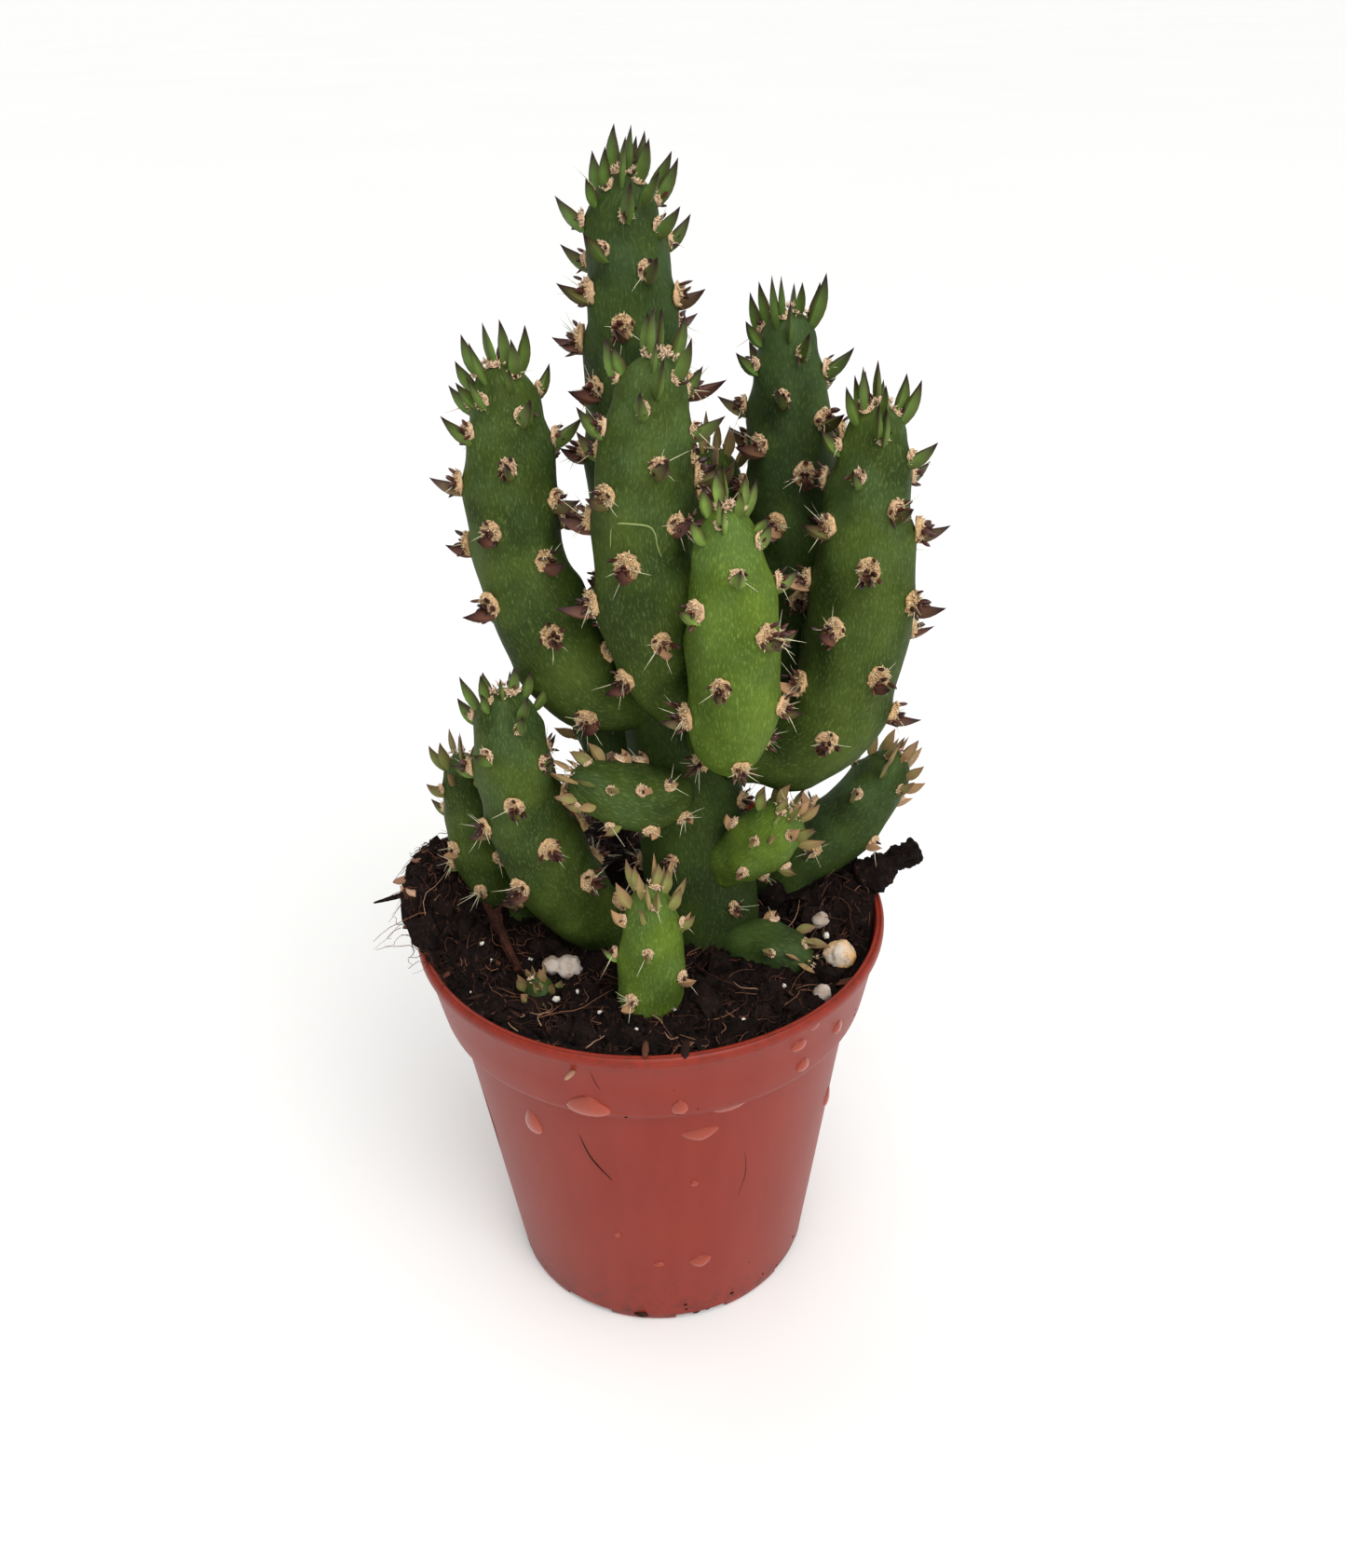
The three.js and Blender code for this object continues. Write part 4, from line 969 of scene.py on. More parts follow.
class CactusStageSettings(bpy.types.PropertyGroup):
    """Stage."""

    floor_radius: size_setting("Floor radius", "Radius of the floor", 100.0)
    front_light: FloatProperty(name="Front light", description="Strength of the broad front light",
                               default=2.2)
    front_from: FloatVectorProperty(name="Front light from", description="Where the front light comes from",
                                    size=3, default=(0.35, -1.0, 1.5))
    back_light: FloatProperty(name="Back light", description="Strength of the broad light from behind",
                              default=0.7)
    back_from: FloatVectorProperty(name="Back light from", description="Where the back light comes from",
                                   size=3, default=(-0.5, 1.0, 1.1))
    glint_light: FloatProperty(name="Glint light", description="Power of the small softbox", default=1.2)
    sky: FloatProperty(name="Surround", description="Strength of the pale surround", default=0.42)


def rgba(colour):
    return (*colour, 1.0)


# Operators


class CACTUS_OT_pot(bpy.types.Operator):
    """Turns the pot's wall, lip and floor, and cuts its foot notches and drain holes."""

    bl_idname = "cactus.pot"
    bl_label = "Pot"

    def execute(self, context):
        sizes = context.scene.cactus_pot
        rim = sizes.rim_radius / MM
        top = sizes.height / MM
        collar_foot = top - COLLAR_HEIGHT
        lip_foot = top - LIP_HEIGHT
        foot_inside = FOOT_RADIUS - 0.64 - WALL
        profile = [
            (foot_inside, FLOOR_LIFT), (foot_inside, 0.0), (foot_inside + 0.15, 0.0),
             (FOOT_RADIUS - 0.75, 0.0),
            (FOOT_RADIUS - 0.4, 0.12), (FOOT_RADIUS - 0.12, 0.6), (FOOT_RADIUS, 1.6),
            (FOOT_RADIUS + 1.2, 10.5), (FOOT_RADIUS + 2.45, 20.0), (FOOT_RADIUS + 3.75, 30.0),
            (SHOULDER_RADIUS - 0.06, collar_foot - 1.6), (SHOULDER_RADIUS + 0.04, collar_foot - 1.0),
            (SHOULDER_RADIUS + 0.35, collar_foot - 0.55), (COLLAR_FOOT_RADIUS - 0.5, collar_foot - 0.15),
            (COLLAR_FOOT_RADIUS - 0.12, collar_foot + 0.2), (COLLAR_FOOT_RADIUS + 0.06, collar_foot + 0.8),
            (COLLAR_FOOT_RADIUS + 0.75, collar_foot + 4.4), (rim - LIP_PROUD - 0.08, lip_foot - 0.5),
            (rim - LIP_PROUD + 0.02, lip_foot - 0.28), (rim - 0.12, lip_foot - 0.14), (rim, lip_foot + 0.1),
            (rim, top - 0.5), (rim - 0.1, top - 0.18), (rim - 0.3, top - 0.02), (rim - 0.45, top - 0.04),
            (rim - 0.55, top - 0.1), (rim - 0.7, top - 0.02), (rim - 0.9, top - 0.05),
             (rim - WALL, top - 0.25),
            (rim - WALL - 0.2, top - 1.6), (COLLAR_FOOT_RADIUS - WALL, collar_foot + 0.6),
            (SHOULDER_RADIUS - WALL + 0.2, collar_foot - 0.6), (SHOULDER_RADIUS - WALL, collar_foot - 1.4),
            (FOOT_RADIUS - WALL + 0.4, FLOOR_TOP), (9.0, FLOOR_TOP), (3.0, FLOOR_TOP),
        ]
        deselect_all()
        bpy.ops.mesh.primitive_circle_add(vertices=sizes.sides, radius=foot_inside * 0.5, fill_type="TRIFAN",
                                          location=(0, 0, FLOOR_LIFT))
        pot = bpy.context.object
        bpy.ops.object.transform_apply(location=True, rotation=False, scale=False)
        bpy.ops.object.mode_set(mode="EDIT")
        select_parts(pot, "EDGE", lambda edge: len(edge.link_faces) == 1)
        radius, height = foot_inside * 0.5, FLOOR_LIFT
        for next_radius, next_height in profile:
            bpy.ops.mesh.extrude_region_move(
                TRANSFORM_OT_translate={"value": (0.0, 0.0, next_height - height)})
            ratio = next_radius / radius
            bpy.ops.transform.resize(value=(ratio, ratio, 1.0), center_override=(0.0, 0.0, next_height))
            radius, height = next_radius, next_height
        bpy.ops.mesh.extrude_region_move(TRANSFORM_OT_translate={"value": (0.0, 0.0, 0.0)})
        close_end()
        self.cut_foot(pot)
        material = plastic_material(rgba(sizes.colour))
        finish_piece(pot, "pot_shell", "pot", material, ("pot",), angle_deg=38)
        return {"FINISHED"}

    def cut_foot(self, pot):
        """Notches through the foot ring and drain holes through the floor."""
        for number in range(NOTCH_COUNT):
            bearing = math.radians(NOTCH_FIRST_DEG + 360 / NOTCH_COUNT * number)
            deselect_all()
            bpy.ops.mesh.primitive_cube_add(
                size=1.0, location=(FOOT_RADIUS * math.cos(bearing), FOOT_RADIUS * math.sin(bearing), 0.0),
                rotation=(0.0, 0.0, bearing), scale=NOTCH_SIZE)
            self.cut(pot, bpy.context.object)
            deselect_all()
            bpy.ops.mesh.primitive_cylinder_add(
                vertices=20, radius=DRAIN_RADIUS, depth=8.0,
                location=(DRAIN_CIRCLE * math.cos(bearing), DRAIN_CIRCLE * math.sin(bearing), FLOOR_LIFT))
            self.cut(pot, bpy.context.object)

    def cut(self, pot, cutter):
        apply_modifier(pot, "BOOLEAN", operation="DIFFERENCE", object=cutter, solver="EXACT")
        bpy.data.objects.remove(cutter)


class CACTUS_OT_pot_marks(bpy.types.Operator):
    """Lays water drops, specks of soil and thin root marks on the pot's wall."""

    bl_idname = "cactus.pot_marks"
    bl_label = "Pot marks"

    def execute(self, context):
        stand = context.scene.cactus_pot.drop_height / MM
        deselect_all()
        bpy.ops.mesh.primitive_uv_sphere_add(segments=20, ring_count=12, radius=1.0)
        drop = bpy.context.object
        cut_foot()
        shape, faces = take_shape(drop)
        copies, values = [], []
        for bearing_deg, height, half_width, half_height, hang in DROPS:
            at, normal, sideways, upward = self.wall(bearing_deg, height)
            swell = 1.0 - hang * shape[:, 1]
            x = shape[:, 0] * half_width * np.clip(swell, 0.4, 1.6)
            y = shape[:, 1] * half_height
            z = shape[:, 2] * stand * (0.6 + 0.4 * min(half_width, half_height)) * (1 - 0.35 * shape[:, 1])
            bent = -(x**2) / (2 * at[1])
            copies.append(at + sideways * x[:, None] + upward * y[:, None] + normal * (z - bent)[:, None])
            level = shape[:, 1] * 0.5 + 0.5
            slant = 0.5 - 0.35 * shape[:, 0]
            values.append(np.stack([shape[:, 0], level, 0.65 * level + 0.35 * slant], -1))
        drops = join_copies("pot_drops", [(np.array(copies), faces, np.array(values))], "drop_place")
        finish_piece(drops, "pot_drops", "pot", water_material())
        self.marks(context)
        return {"FINISHED"}

    def wall(self, bearing_deg, height):
        """Place and directions on the pot's outer wall."""
        levels = [0, 1.6, 39.4, 40.2, 40.8, 48.4, 48.9, 50]
        radii = [18.2, 18.9, 23.85, 25.2, 25.56, 26.9, 27.45, 27.5]
        radius = float(np.interp(height, levels, radii))
        above = float(np.interp(height + 1, levels, radii))
        below = float(np.interp(height - 1, levels, radii))
        slope = (above - below) / 2
        bearing = math.radians(bearing_deg)
        outward = np.array([math.cos(bearing), math.sin(bearing), 0.0])
        sideways = np.array([-math.sin(bearing), math.cos(bearing), 0.0])
        upward = unit(outward * slope + np.array([0, 0, 1.0]))
        normal = np.cross(sideways, upward)
        return outward * radius + np.array([0, 0, height]), normal, sideways, upward

    def marks(self, context):
        """Specks and root marks: bearing and height of each."""
        rng = np.random.default_rng(SEED + 1)
        soil = context.scene.cactus_soil
        peat = peat_material("dried_splashes", rgba(soil.dark), linear("#3a2218"), "#4a2c20")
        deselect_all()
        bpy.ops.mesh.primitive_ico_sphere_add(subdivisions=1, radius=1.0)
        shape, faces = take_shape(bpy.context.object)
        named = [(-98, 40.3, 0.45), (-99.6, 0.7, 1.2), (-96.5, 0.5, 0.7), (-78, 0.6, 0.6), (-85, 40.6, 0.35),
                 (-104, 39.6, 0.2), (-90, 31.5, 0.18), (-113, 32.0, 0.16), (-60, 39.8, 0.25)]
        # Bands of seeded specks: how many, between which heights, and the least and greatest size
        bands = [(60, 41, 49, 0.08, 0.22), (50, 0.2, 3.5, 0.1, 0.3), (50, 4, 39, 0.06, 0.14)]
        spots = list(named)
        for number, low, high, small, large in bands:
            spots += [(rng.uniform(-180, 180), rng.uniform(low, high), rng.uniform(small, large))
                      for _ in range(number)]
        copies = []
        for bearing_deg, height, size in spots:
            at, normal, sideways, upward = self.wall(bearing_deg, height)
            local = shape * (size, size * rng.uniform(0.6, 1.1), size * 0.35)
            local = local * (1 + 0.3 * rng.normal(size=(len(shape), 1)).clip(-1, 1))
            speck = at + sideways * local[:, 0:1] + upward * local[:, 1:2] + normal * local[:, 2:3]
            copies.append(np.maximum(speck, (-100.0, -100.0, 0.01)))
        specks = join_copies("pot_specks", [(np.array(copies), faces, None)])
        finish_piece(specks, "pot_specks", "peat", peat)
        lines = [
            ([(-113, 35.5), (-110, 31), (-104.5, 27.5)], 0.1),
            ([(-99.3, 38.5), (-99, 36), (-99.4, 33.5)], 0.07),
            ([(-105, 47.5), (-104, 45.6), (-103, 44.6)], 0.06), ([(-65, 30), (-64, 26), (-66, 22)], 0.05),
            ([(40, 36), (44, 31), (43, 25)], 0.09), ([(120, 44), (123, 38), (121, 30)], 0.08),
            ([(-160, 30), (-157, 24), (-158, 20)], 0.07),
        ]
        rows = 12
        rod, rod_faces = take_shape(add_rod(5, rows))
        copies = []
        for marks, radius in lines:
            path = smooth_path(marks, rows)
            places = [self.wall(bearing, height) for bearing, height in path]
            points = np.array([place[0] + place[1] * radius * 0.3 for place in places])
            thin = radius * np.sin(np.linspace(0.15, math.pi - 0.15, rows + 1)) ** 0.5
            copies.append(bend_rod(rod, points, thin))
        roots = join_copies("pot_root_marks", [(np.array(copies), rod_faces, None)])
        finish_piece(roots, "pot_root_marks", "peat", peat)


class CACTUS_OT_soil(bpy.types.Operator):
    """Builds the bed of potting soil with its mounds, lumps and the heap over the lip."""

    bl_idname = "cactus.soil"
    bl_label = "Soil"

    def execute(self, context):
        sizes = context.scene.cactus_soil
        deselect_all()
        bpy.ops.mesh.primitive_grid_add(x_subdivisions=SOIL_GRID, y_subdivisions=SOIL_GRID, size=2.0)
        soil = bpy.context.object
        bpy.ops.object.mode_set(mode="EDIT")
        select_parts(soil, "EDGE", lambda edge: len(edge.link_faces) == 1)
        for _ in range(4):
            bpy.ops.mesh.extrude_region_move(TRANSFORM_OT_translate={"value": (0.0, 0.0, -1.0)})
        bpy.ops.mesh.extrude_region_move(TRANSFORM_OT_translate={"value": (0.0, 0.0, -1.0)})
        close_end()
        write_points(soil, self.place(read_points(soil), sizes.lump / MM))
        material = peat_material("peat_soil", rgba(sizes.dark), rgba(sizes.light), "#251712")
        finish_piece(soil, "soil_bed", "soil", material, ("potting_soil",))
        return {"FINISHED"}

    def place(self, grid, lump):
        """Puts the square grid's points on the round soil surface, and its skirt down the pot's inside."""
        x, y = grid[:, 0], grid[:, 1]
        level = np.rint(-grid[:, 2]).astype(int)
        reach = np.maximum(np.abs(x), np.abs(y))
        wide = np.abs(x) >= np.abs(y)
        safe_x = np.where(np.abs(x) < 1e-9, 1e-9, x)
        safe_y = np.where(np.abs(y) < 1e-9, 1e-9, y)
        bearing = np.where(wide, math.pi / 4 * y / safe_x + np.where(x < 0, math.pi, 0.0),
                           math.pi / 2 - math.pi / 4 * x / safe_y + np.where(y < 0, math.pi, 0.0))
        cos, sin = np.cos(bearing), np.sin(bearing)
        edge = inner_radius(SOIL_LEVEL + 1.5)
        edge_height = soil_height(edge * cos, edge * sin)
        over = smoothstep(edge_height, 49.9, 51.2)
        heap = np.maximum(0.0, np.cos(bearing - math.radians(HEAP_BEARING_DEG))) ** 8
        farthest = HEAP_RADIUS - 0.9 + (HEAP_FARTHEST - 0.3 - HEAP_RADIUS + 0.9) * heap
        border = (inner_radius(edge_height) - 0.02) * (1 - over) + farthest * over
        radius = reach * border
        px, py = radius * cos, radius * sin
        height = soil_height(px, py) + self.relief(px, py, lump) * (1 - 0.6 * smoothstep(reach, 0.97, 1.0))
        height = np.where(radius > 26.0, np.maximum(height, 50.35 * over + height * (1 - over)), height)
        under = over * 50.2 + (1 - over) * (edge_height - 1.2)
        drop_radius = inner_radius(edge_height - 1.2) - 0.02
        rings_radius = [border * (1 - 0.01 * over) * over + drop_radius * (1 - over),
                        26.35 * over + (drop_radius - 0.03) * (1 - over),
                        inner_radius(39.0) - 0.02 + 0 * over,
                        inner_radius(FLOOR_TOP) - 0.02 + 0 * over, 0 * over]
        rings_height = [under, under - 0.1 * over - 0.4 * (1 - over), 39.0 + 0 * over,
                        FLOOR_TOP + 0.02 + 0 * over, FLOOR_TOP + 0.02 + 0 * over]
        for number in range(5):
            ring = level == number + 1
            radius = np.where(ring, rings_radius[number], radius)
            height = np.where(ring, rings_height[number], height)
        return np.stack([radius * cos, radius * sin, height], -1)

    def relief(self, px, py, lump):
        """Lumps, crumbs and grit of the surface."""
        heights = np.empty(len(px))
        for i, (a, b) in enumerate(zip(px.tolist(), py.tolist())):
            broad = noise.noise(Vector((a * 0.28, b * 0.28, 3.1)))
            clod = 1 - abs(noise.noise(Vector((a * 0.6, b * 0.6, 7.7)))) * 2
            crumb = noise.noise(Vector((a * 1.6, b * 1.6, 1.3)))
            heights[i] = 0.6 * broad + 0.5 * clod + 0.55 * crumb - 0.2
        return heights * lump


class CACTUS_OT_soil_litter(bpy.types.Operator):
    """Strews crumbs, fibres, husks and white grit over the soil."""

    bl_idname = "cactus.soil_litter"
    bl_label = "Soil litter"

    def execute(self, context):
        sizes = context.scene.cactus_soil
        rng = np.random.default_rng(SEED + 2)
        peat = peat_material("peat_crumb", rgba(sizes.dark), linear("#1e1411"), "#2e1d17")
        fibre = fibre_material()
        deselect_all()
        bpy.ops.mesh.primitive_ico_sphere_add(subdivisions=1, radius=1.0)
        shape, faces = take_shape(bpy.context.object)
        crumbs = self.crumbs(rng, shape, sizes.crumbs)
        piece = join_copies("soil_crumbs", [(crumbs, faces, None)])
        finish_piece(piece, "soil_crumbs", "soil", peat, angle_deg=50)
        grit = self.grit(rng, shape)
        piece = join_copies("soil_grit", [(grit, faces, None)])
        chalky = perlite_material("perlite_grit", "#e4ded4", "#a89a8a", "#d8cfc0")
        finish_piece(piece, "soil_grit", "perlite", chalky)
        self.fibres(rng, sizes.fibres, fibre)
        self.husks(rng, fibre)
        return {"FINISHED"}

    def spots(self, rng, count):
        """Random spots on the soil, more of them on the heaps and over the lip at the left."""
        bearing = rng.uniform(-math.pi, math.pi, count)
        radius = 25.6 * np.sqrt(rng.uniform(0.02, 1.0, count))
        heap = rng.random(count) < 0.22
        bearing = np.where(heap, math.radians(HEAP_BEARING_DEG) + rng.normal(0, 0.3, count), bearing)
        radius = np.where(heap, rng.uniform(20.5, HEAP_FARTHEST - 0.6, count), radius)
        toward = np.maximum(0.0, np.cos(bearing - math.radians(HEAP_BEARING_DEG))) ** 10
        return bearing, np.minimum(radius, 25.6 + (HEAP_FARTHEST - 26.2) * toward)

    def crumbs(self, rng, shape, count):
        bearing, radius = self.spots(rng, count)
        size = np.exp(rng.normal(math.log(0.38), 0.6, count)).clip(0.12, 2.0)
        radius = np.where(radius > 24.0, radius - 0.7 * size, radius)
        x, y = radius * np.cos(bearing), radius * np.sin(bearing)
        ground = soil_height(x, y)
        over = radius > 26.2
        ground = np.where(over, np.maximum(ground, 50.3), ground)
        z = ground + size * rng.uniform(-0.3, 0.35, count)
        stretch = rng.uniform(0.55, 1.25, (count, 1, 3))
        local = shape[None] * stretch * (1 + 0.34 * rng.normal(size=(count, len(shape), 1)).clip(-1.5, 1.5))
        local = np.einsum("nij,nvj->nvi", turns(rng, count), local) * size[:, None, None]
        return local + np.stack([x, y, z], -1)[:, None, :]

    def grit(self, rng, shape):
        """White grains: the ones that show in the photograph by place, and a few more."""
        named = [(-25.1, -0.7, 50.6, 0.5), (-24.0, -4.4, 50.1, 0.35), (18.2, -4.8, 49.2, 0.8),
                 (20.1, -6.6, 49.4, 0.55),
                 (-10.8, -14.5, 48.1, 0.45), (-6.0, -17.2, 48.2, 0.3), (-2.0, -20.5, 48.4, 0.25),
                 (9.5, -19.2, 48.0, 0.3), (14.5, -13.5, 47.8, 0.3), (-19.6, -5.2, 49.3, 0.28),
                 (5.6, -17.5, 47.9, 0.22)]
        more = []
        for _ in range(26):
            bearing, radius = rng.uniform(-math.pi, math.pi), 24 * math.sqrt(rng.uniform(0.1, 1))
            x, y = radius * math.cos(bearing), radius * math.sin(bearing)
            more.append((x, y, float(soil_height(x, y)) + 0.25, rng.uniform(0.12, 0.4)))
        copies = []
        for (x, y, z, size), turned in zip(named + more, turns(rng, len(named) + len(more))):
            local = shape * rng.uniform(0.7, 1.15, 3)
            local = local * (1 + 0.18 * rng.normal(size=(len(shape), 1)).clip(-1, 1))
            copies.append((local @ turned.T) * size + (x, y, z))
        return np.array(copies)

    def fibres(self, rng, count, material):
        rows = 7
        rod, faces = take_shape(add_rod(4, rows))
        bearing, radius = self.spots(rng, count)
        tuft = np.arange(count) // TUFT_SIZE * TUFT_SIZE
        tuft = np.where(tuft % (2 * TUFT_SIZE) == 0, tuft, np.arange(count))
        bearing = bearing[tuft] + rng.normal(0, 0.03, count)
        radius = (radius[tuft] + rng.normal(0, 0.5, count)).clip(0, 29.2)
        copies, values = [], []
        for i in range(count):
            length = float(np.exp(rng.normal(math.log(3.2), 0.5)).clip(1.2, 9))
            heading = rng.uniform(0, 2 * math.pi)
            lift = rng.uniform(0.1, 0.5)
            rise = rng.uniform(0.0, 0.5) if rng.random() < 0.35 else rng.uniform(0.0, 0.1)
            x, y = radius[i] * math.cos(bearing[i]), radius[i] * math.sin(bearing[i])
            points = []
            for step in range(5):
                ground = float(soil_height(x, y))
                away = math.hypot(x, y)
                if away > 26.4:
                    ground = max(ground, 50.4)
                if away > 29.0:
                    ground -= (away - 29.0) * 0.6
                points.append((x, y, ground + lift + rise * step))
                heading += rng.normal(0, 0.8)
                stride = length / 4
                x += stride * math.cos(heading)
                y += stride * math.sin(heading)
                if math.hypot(x, y) > 26.0 and abs(math.atan2(y, -x)) > 0.6:
                    shrink = 25.8 / math.hypot(x, y)
                    x, y = x * shrink, y * shrink
            points = np.array(points)
            points[:, 0] = points[:, 0].clip(-32.3, 32.3)
            points[:, 1] = points[:, 1].clip(-27.0, 27.0)
            thick = rng.uniform(0.03, 0.095)
            radii = thick * np.linspace(1.0, 0.35, rows + 1)
            copies.append(bend_rod(rod, smooth_path(points, rows), radii))
            shade = rng.choice([0.1, 0.4, 0.6, 0.78, 0.95], p=[0.2, 0.3, 0.3, 0.17, 0.03])
            values.append(np.tile([shade, 0, 0], (len(rod), 1)))
        piece = join_copies("soil_fibres", [(np.array(copies), faces, np.array(values))], "shade")
        finish_piece(piece, "soil_fibres", "peat", material)

    def husks(self, rng, material):
        """Flat flakes of bark and seed husk, the ones on the lip by place."""
        deselect_all()
        bpy.ops.mesh.primitive_uv_sphere_add(segments=8, ring_count=5, radius=1.0)
        shape, faces = take_shape(bpy.context.object)
        named = [((-28.2, 0.9, 52.7), 1.7, 0.65, 0.4, 1.0), ((-1.1, -26.3, 50.5), 1.1, 0.4, 0.3, 0.6),
                 ((3.0, -26.2, 50.2), 1.2, 0.5, 0.18, 0.15),
                 ((-9.0, -25.6, 47.0), 1.0, 0.35, 0.2, 0.9), ((-29.0, 3.2, 53.0), 1.7, 0.8, 0.35, 0.85),
                 ((-27.2, 5.5, 54.1), 1.5, 0.6, 0.3, 0.8), ((-27.6, -3.6, 51.2), 1.3, 0.5, 0.25, 0.6),
                 ((-28.4, 0.4, 52.4), 1.2, 0.5, 0.25, 0.5), ((-22.4, 6.1, 53.6), 1.4, 0.7, 0.3, 0.35)]
        for _ in range(46):
            (bearing,), (radius,) = self.spots(rng, 1)
            radius = min(radius, 25.2)
            x, y = radius * math.cos(bearing), radius * math.sin(bearing)
            named.append(((x, y, float(soil_height(x, y)) + 0.3), rng.uniform(0.5, 1.5),
                          rng.uniform(0.25, 0.6),
                          0.15, rng.uniform(0.1, 0.7)))
        copies, values = [], []
        for (centre, length, width, thick, shade) in named:
            heading = rng.uniform(0, math.pi)
            tilt = rng.normal(0, 0.35)
            local = shape * (length, width, thick)
            local[:, 2] += 0.25 * shape[:, 0] ** 2 * length * 0.5
            turn = Matrix.Rotation(heading, 3, "Z") @ Matrix.Rotation(tilt, 3, "Y")
            copies.append(local @ np.array(turn).T + centre)
            values.append(np.tile([shade, 0, 0], (len(shape), 1)))
        piece = join_copies("soil_husks", [(np.array(copies), faces, np.array(values))], "shade")
        finish_piece(piece, "soil_husks", "peat", material)


class CACTUS_OT_loose_pieces(bpy.types.Operator):
    """Makes the perlite grains, the peat chunk, the dry stalk and the root strand."""

    bl_idname = "cactus.loose_pieces"
    bl_label = "Perlite, peat and stalk"

    def execute(self, context):
        white = perlite_material("expanded_perlite", "#c0b3a8", "#6d5a4e", "#ac9784")
        stained = perlite_material("stained_perlite", "#d9a458", "#8b6238", "#cfc2b2")
        for number, (name, centre, half, yaw, tilt, slot) in enumerate(GRAINS):
            deselect_all()
            bpy.ops.mesh.primitive_ico_sphere_add(subdivisions=4, radius=1.0)
            grain = bpy.context.object
            points = read_points(grain)
            for i, point in enumerate(points.tolist()):
                spot = Vector(point)
                lobes = noise.noise(spot * 1.3 + Vector((number * 7.3, 0, 0)))
                pits = abs(noise.noise(spot * 3.6 + Vector((0, number * 5.1, 0))))
                points[i] *= 0.93 + 0.16 * lobes - 0.16 * (0.5 - pits)
            points = points * half
            if name == "perlite_left":
                waist = np.exp(-(((points[:, 0] + 0.6) / 0.45) ** 2))
                points[:, 1:] *= 1 - 0.42 * waist[:, None]
                hollow = np.linalg.norm(points - (0.9, -0.9, 1.0), axis=1)
                points -= (points - (0.9, 0.2, -0.2)) * (0.55 * np.exp(-((hollow / 0.5) ** 2)))[:, None]
            turn = Matrix.Rotation(math.radians(yaw), 3, "Z") @ Matrix.Rotation(math.radians(tilt), 3, "Y")
            write_points(grain, points @ np.array(turn).T + centre)
            material = stained if slot == "perlite_stained" else white
            finish_piece(grain, name + "_grain", slot, material, (name,))
        self.chips(context)
        return {"FINISHED"}

    def chips(self, context):
        soil = context.scene.cactus_soil
        peat = peat_material("wet_peat", rgba(soil.dark), linear("#1b110e"), "#2a1a15")
        stalk = peat_material("dry_stalk", linear("#1f100d"), linear("#3f2219"), "#5c3325")
        self.chip("peat_chunk", PEAT_CHUNK, (0.9, 1.05, 1.1, 0.95, 0.85, 0.8, 0.95, 0.8), 0.55, peat, "peat",
                  PEAT_PRONGS)
        self.chip("dry_stalk", DRY_STALK, (0.5, 0.55, 0.5, 0.6, 0.55, 0.7, 0.9, 0.5), 0.34,
                  stalk, "dry_stalk",
                  STALK_PRONGS)
        self.chip("root_strand", ROOT_STRAND, (0.9, 0.9, 0.8, 0.7, 0.6, 0.5, 0.4, 0.25), 0.2, peat, "peat")

    def chip(self, name, ends, girth, rough, material, slot, prongs=()):
        """A ridged stick between two points, with prongs at its end if it has any."""
        parts = [self.stick(ends, girth, rough)]
        parts += [self.stick(prong, (0.9, 1.0, 0.8, 0.3), rough) for prong in prongs]
        deselect_all()
        for part in parts:
            part.select_set(True)
        bpy.context.view_layer.objects.active = parts[0]
        if prongs:
            bpy.ops.object.join()
        finish_piece(parts[0], name + "_bark", slot, material, (name,))

    def stick(self, ends, girth, rough):
        start, end, thick = ends
        rows = 40
        rod = add_rod(24, rows)
        share = np.linspace(0, 1, rows + 1)
        path = np.array(start) + (np.array(end) - np.array(start)) * share[:, None]
        radii = thick * np.interp(share, np.linspace(0, 1, len(girth)), girth)
        radii[0] *= 0.4
        radii[-1] *= 0.4
        points = read_points(rod)
        bearing = np.arctan2(points[:, 1], points[:, 0])
        row = np.rint((points[:, 2] + 0.5) * rows)
        laid = bend_rod(points, path, radii)
        centre = path[row.astype(int)]
        for i in range(len(laid)):
            spot = Vector(laid[i].tolist())
            on_ring = Vector((math.cos(bearing[i]) * 2.4, math.sin(bearing[i]) * 2.4, row[i] * 0.05))
            ridge = noise.noise(on_ring)
            lump = noise.noise(spot * (1.1 / max(thick, 0.6)))
            grit = noise.noise(spot * 2.6)
            swell = 1 + rough * (1.2 * ridge + lump + 0.5 * grit)
            laid[i] = centre[i] + (laid[i] - centre[i]) * swell
        write_points(rod, laid.clip(np.array(cad_low) / MM + 0.02, np.array(cad_high) / MM - 0.02))
        return rod


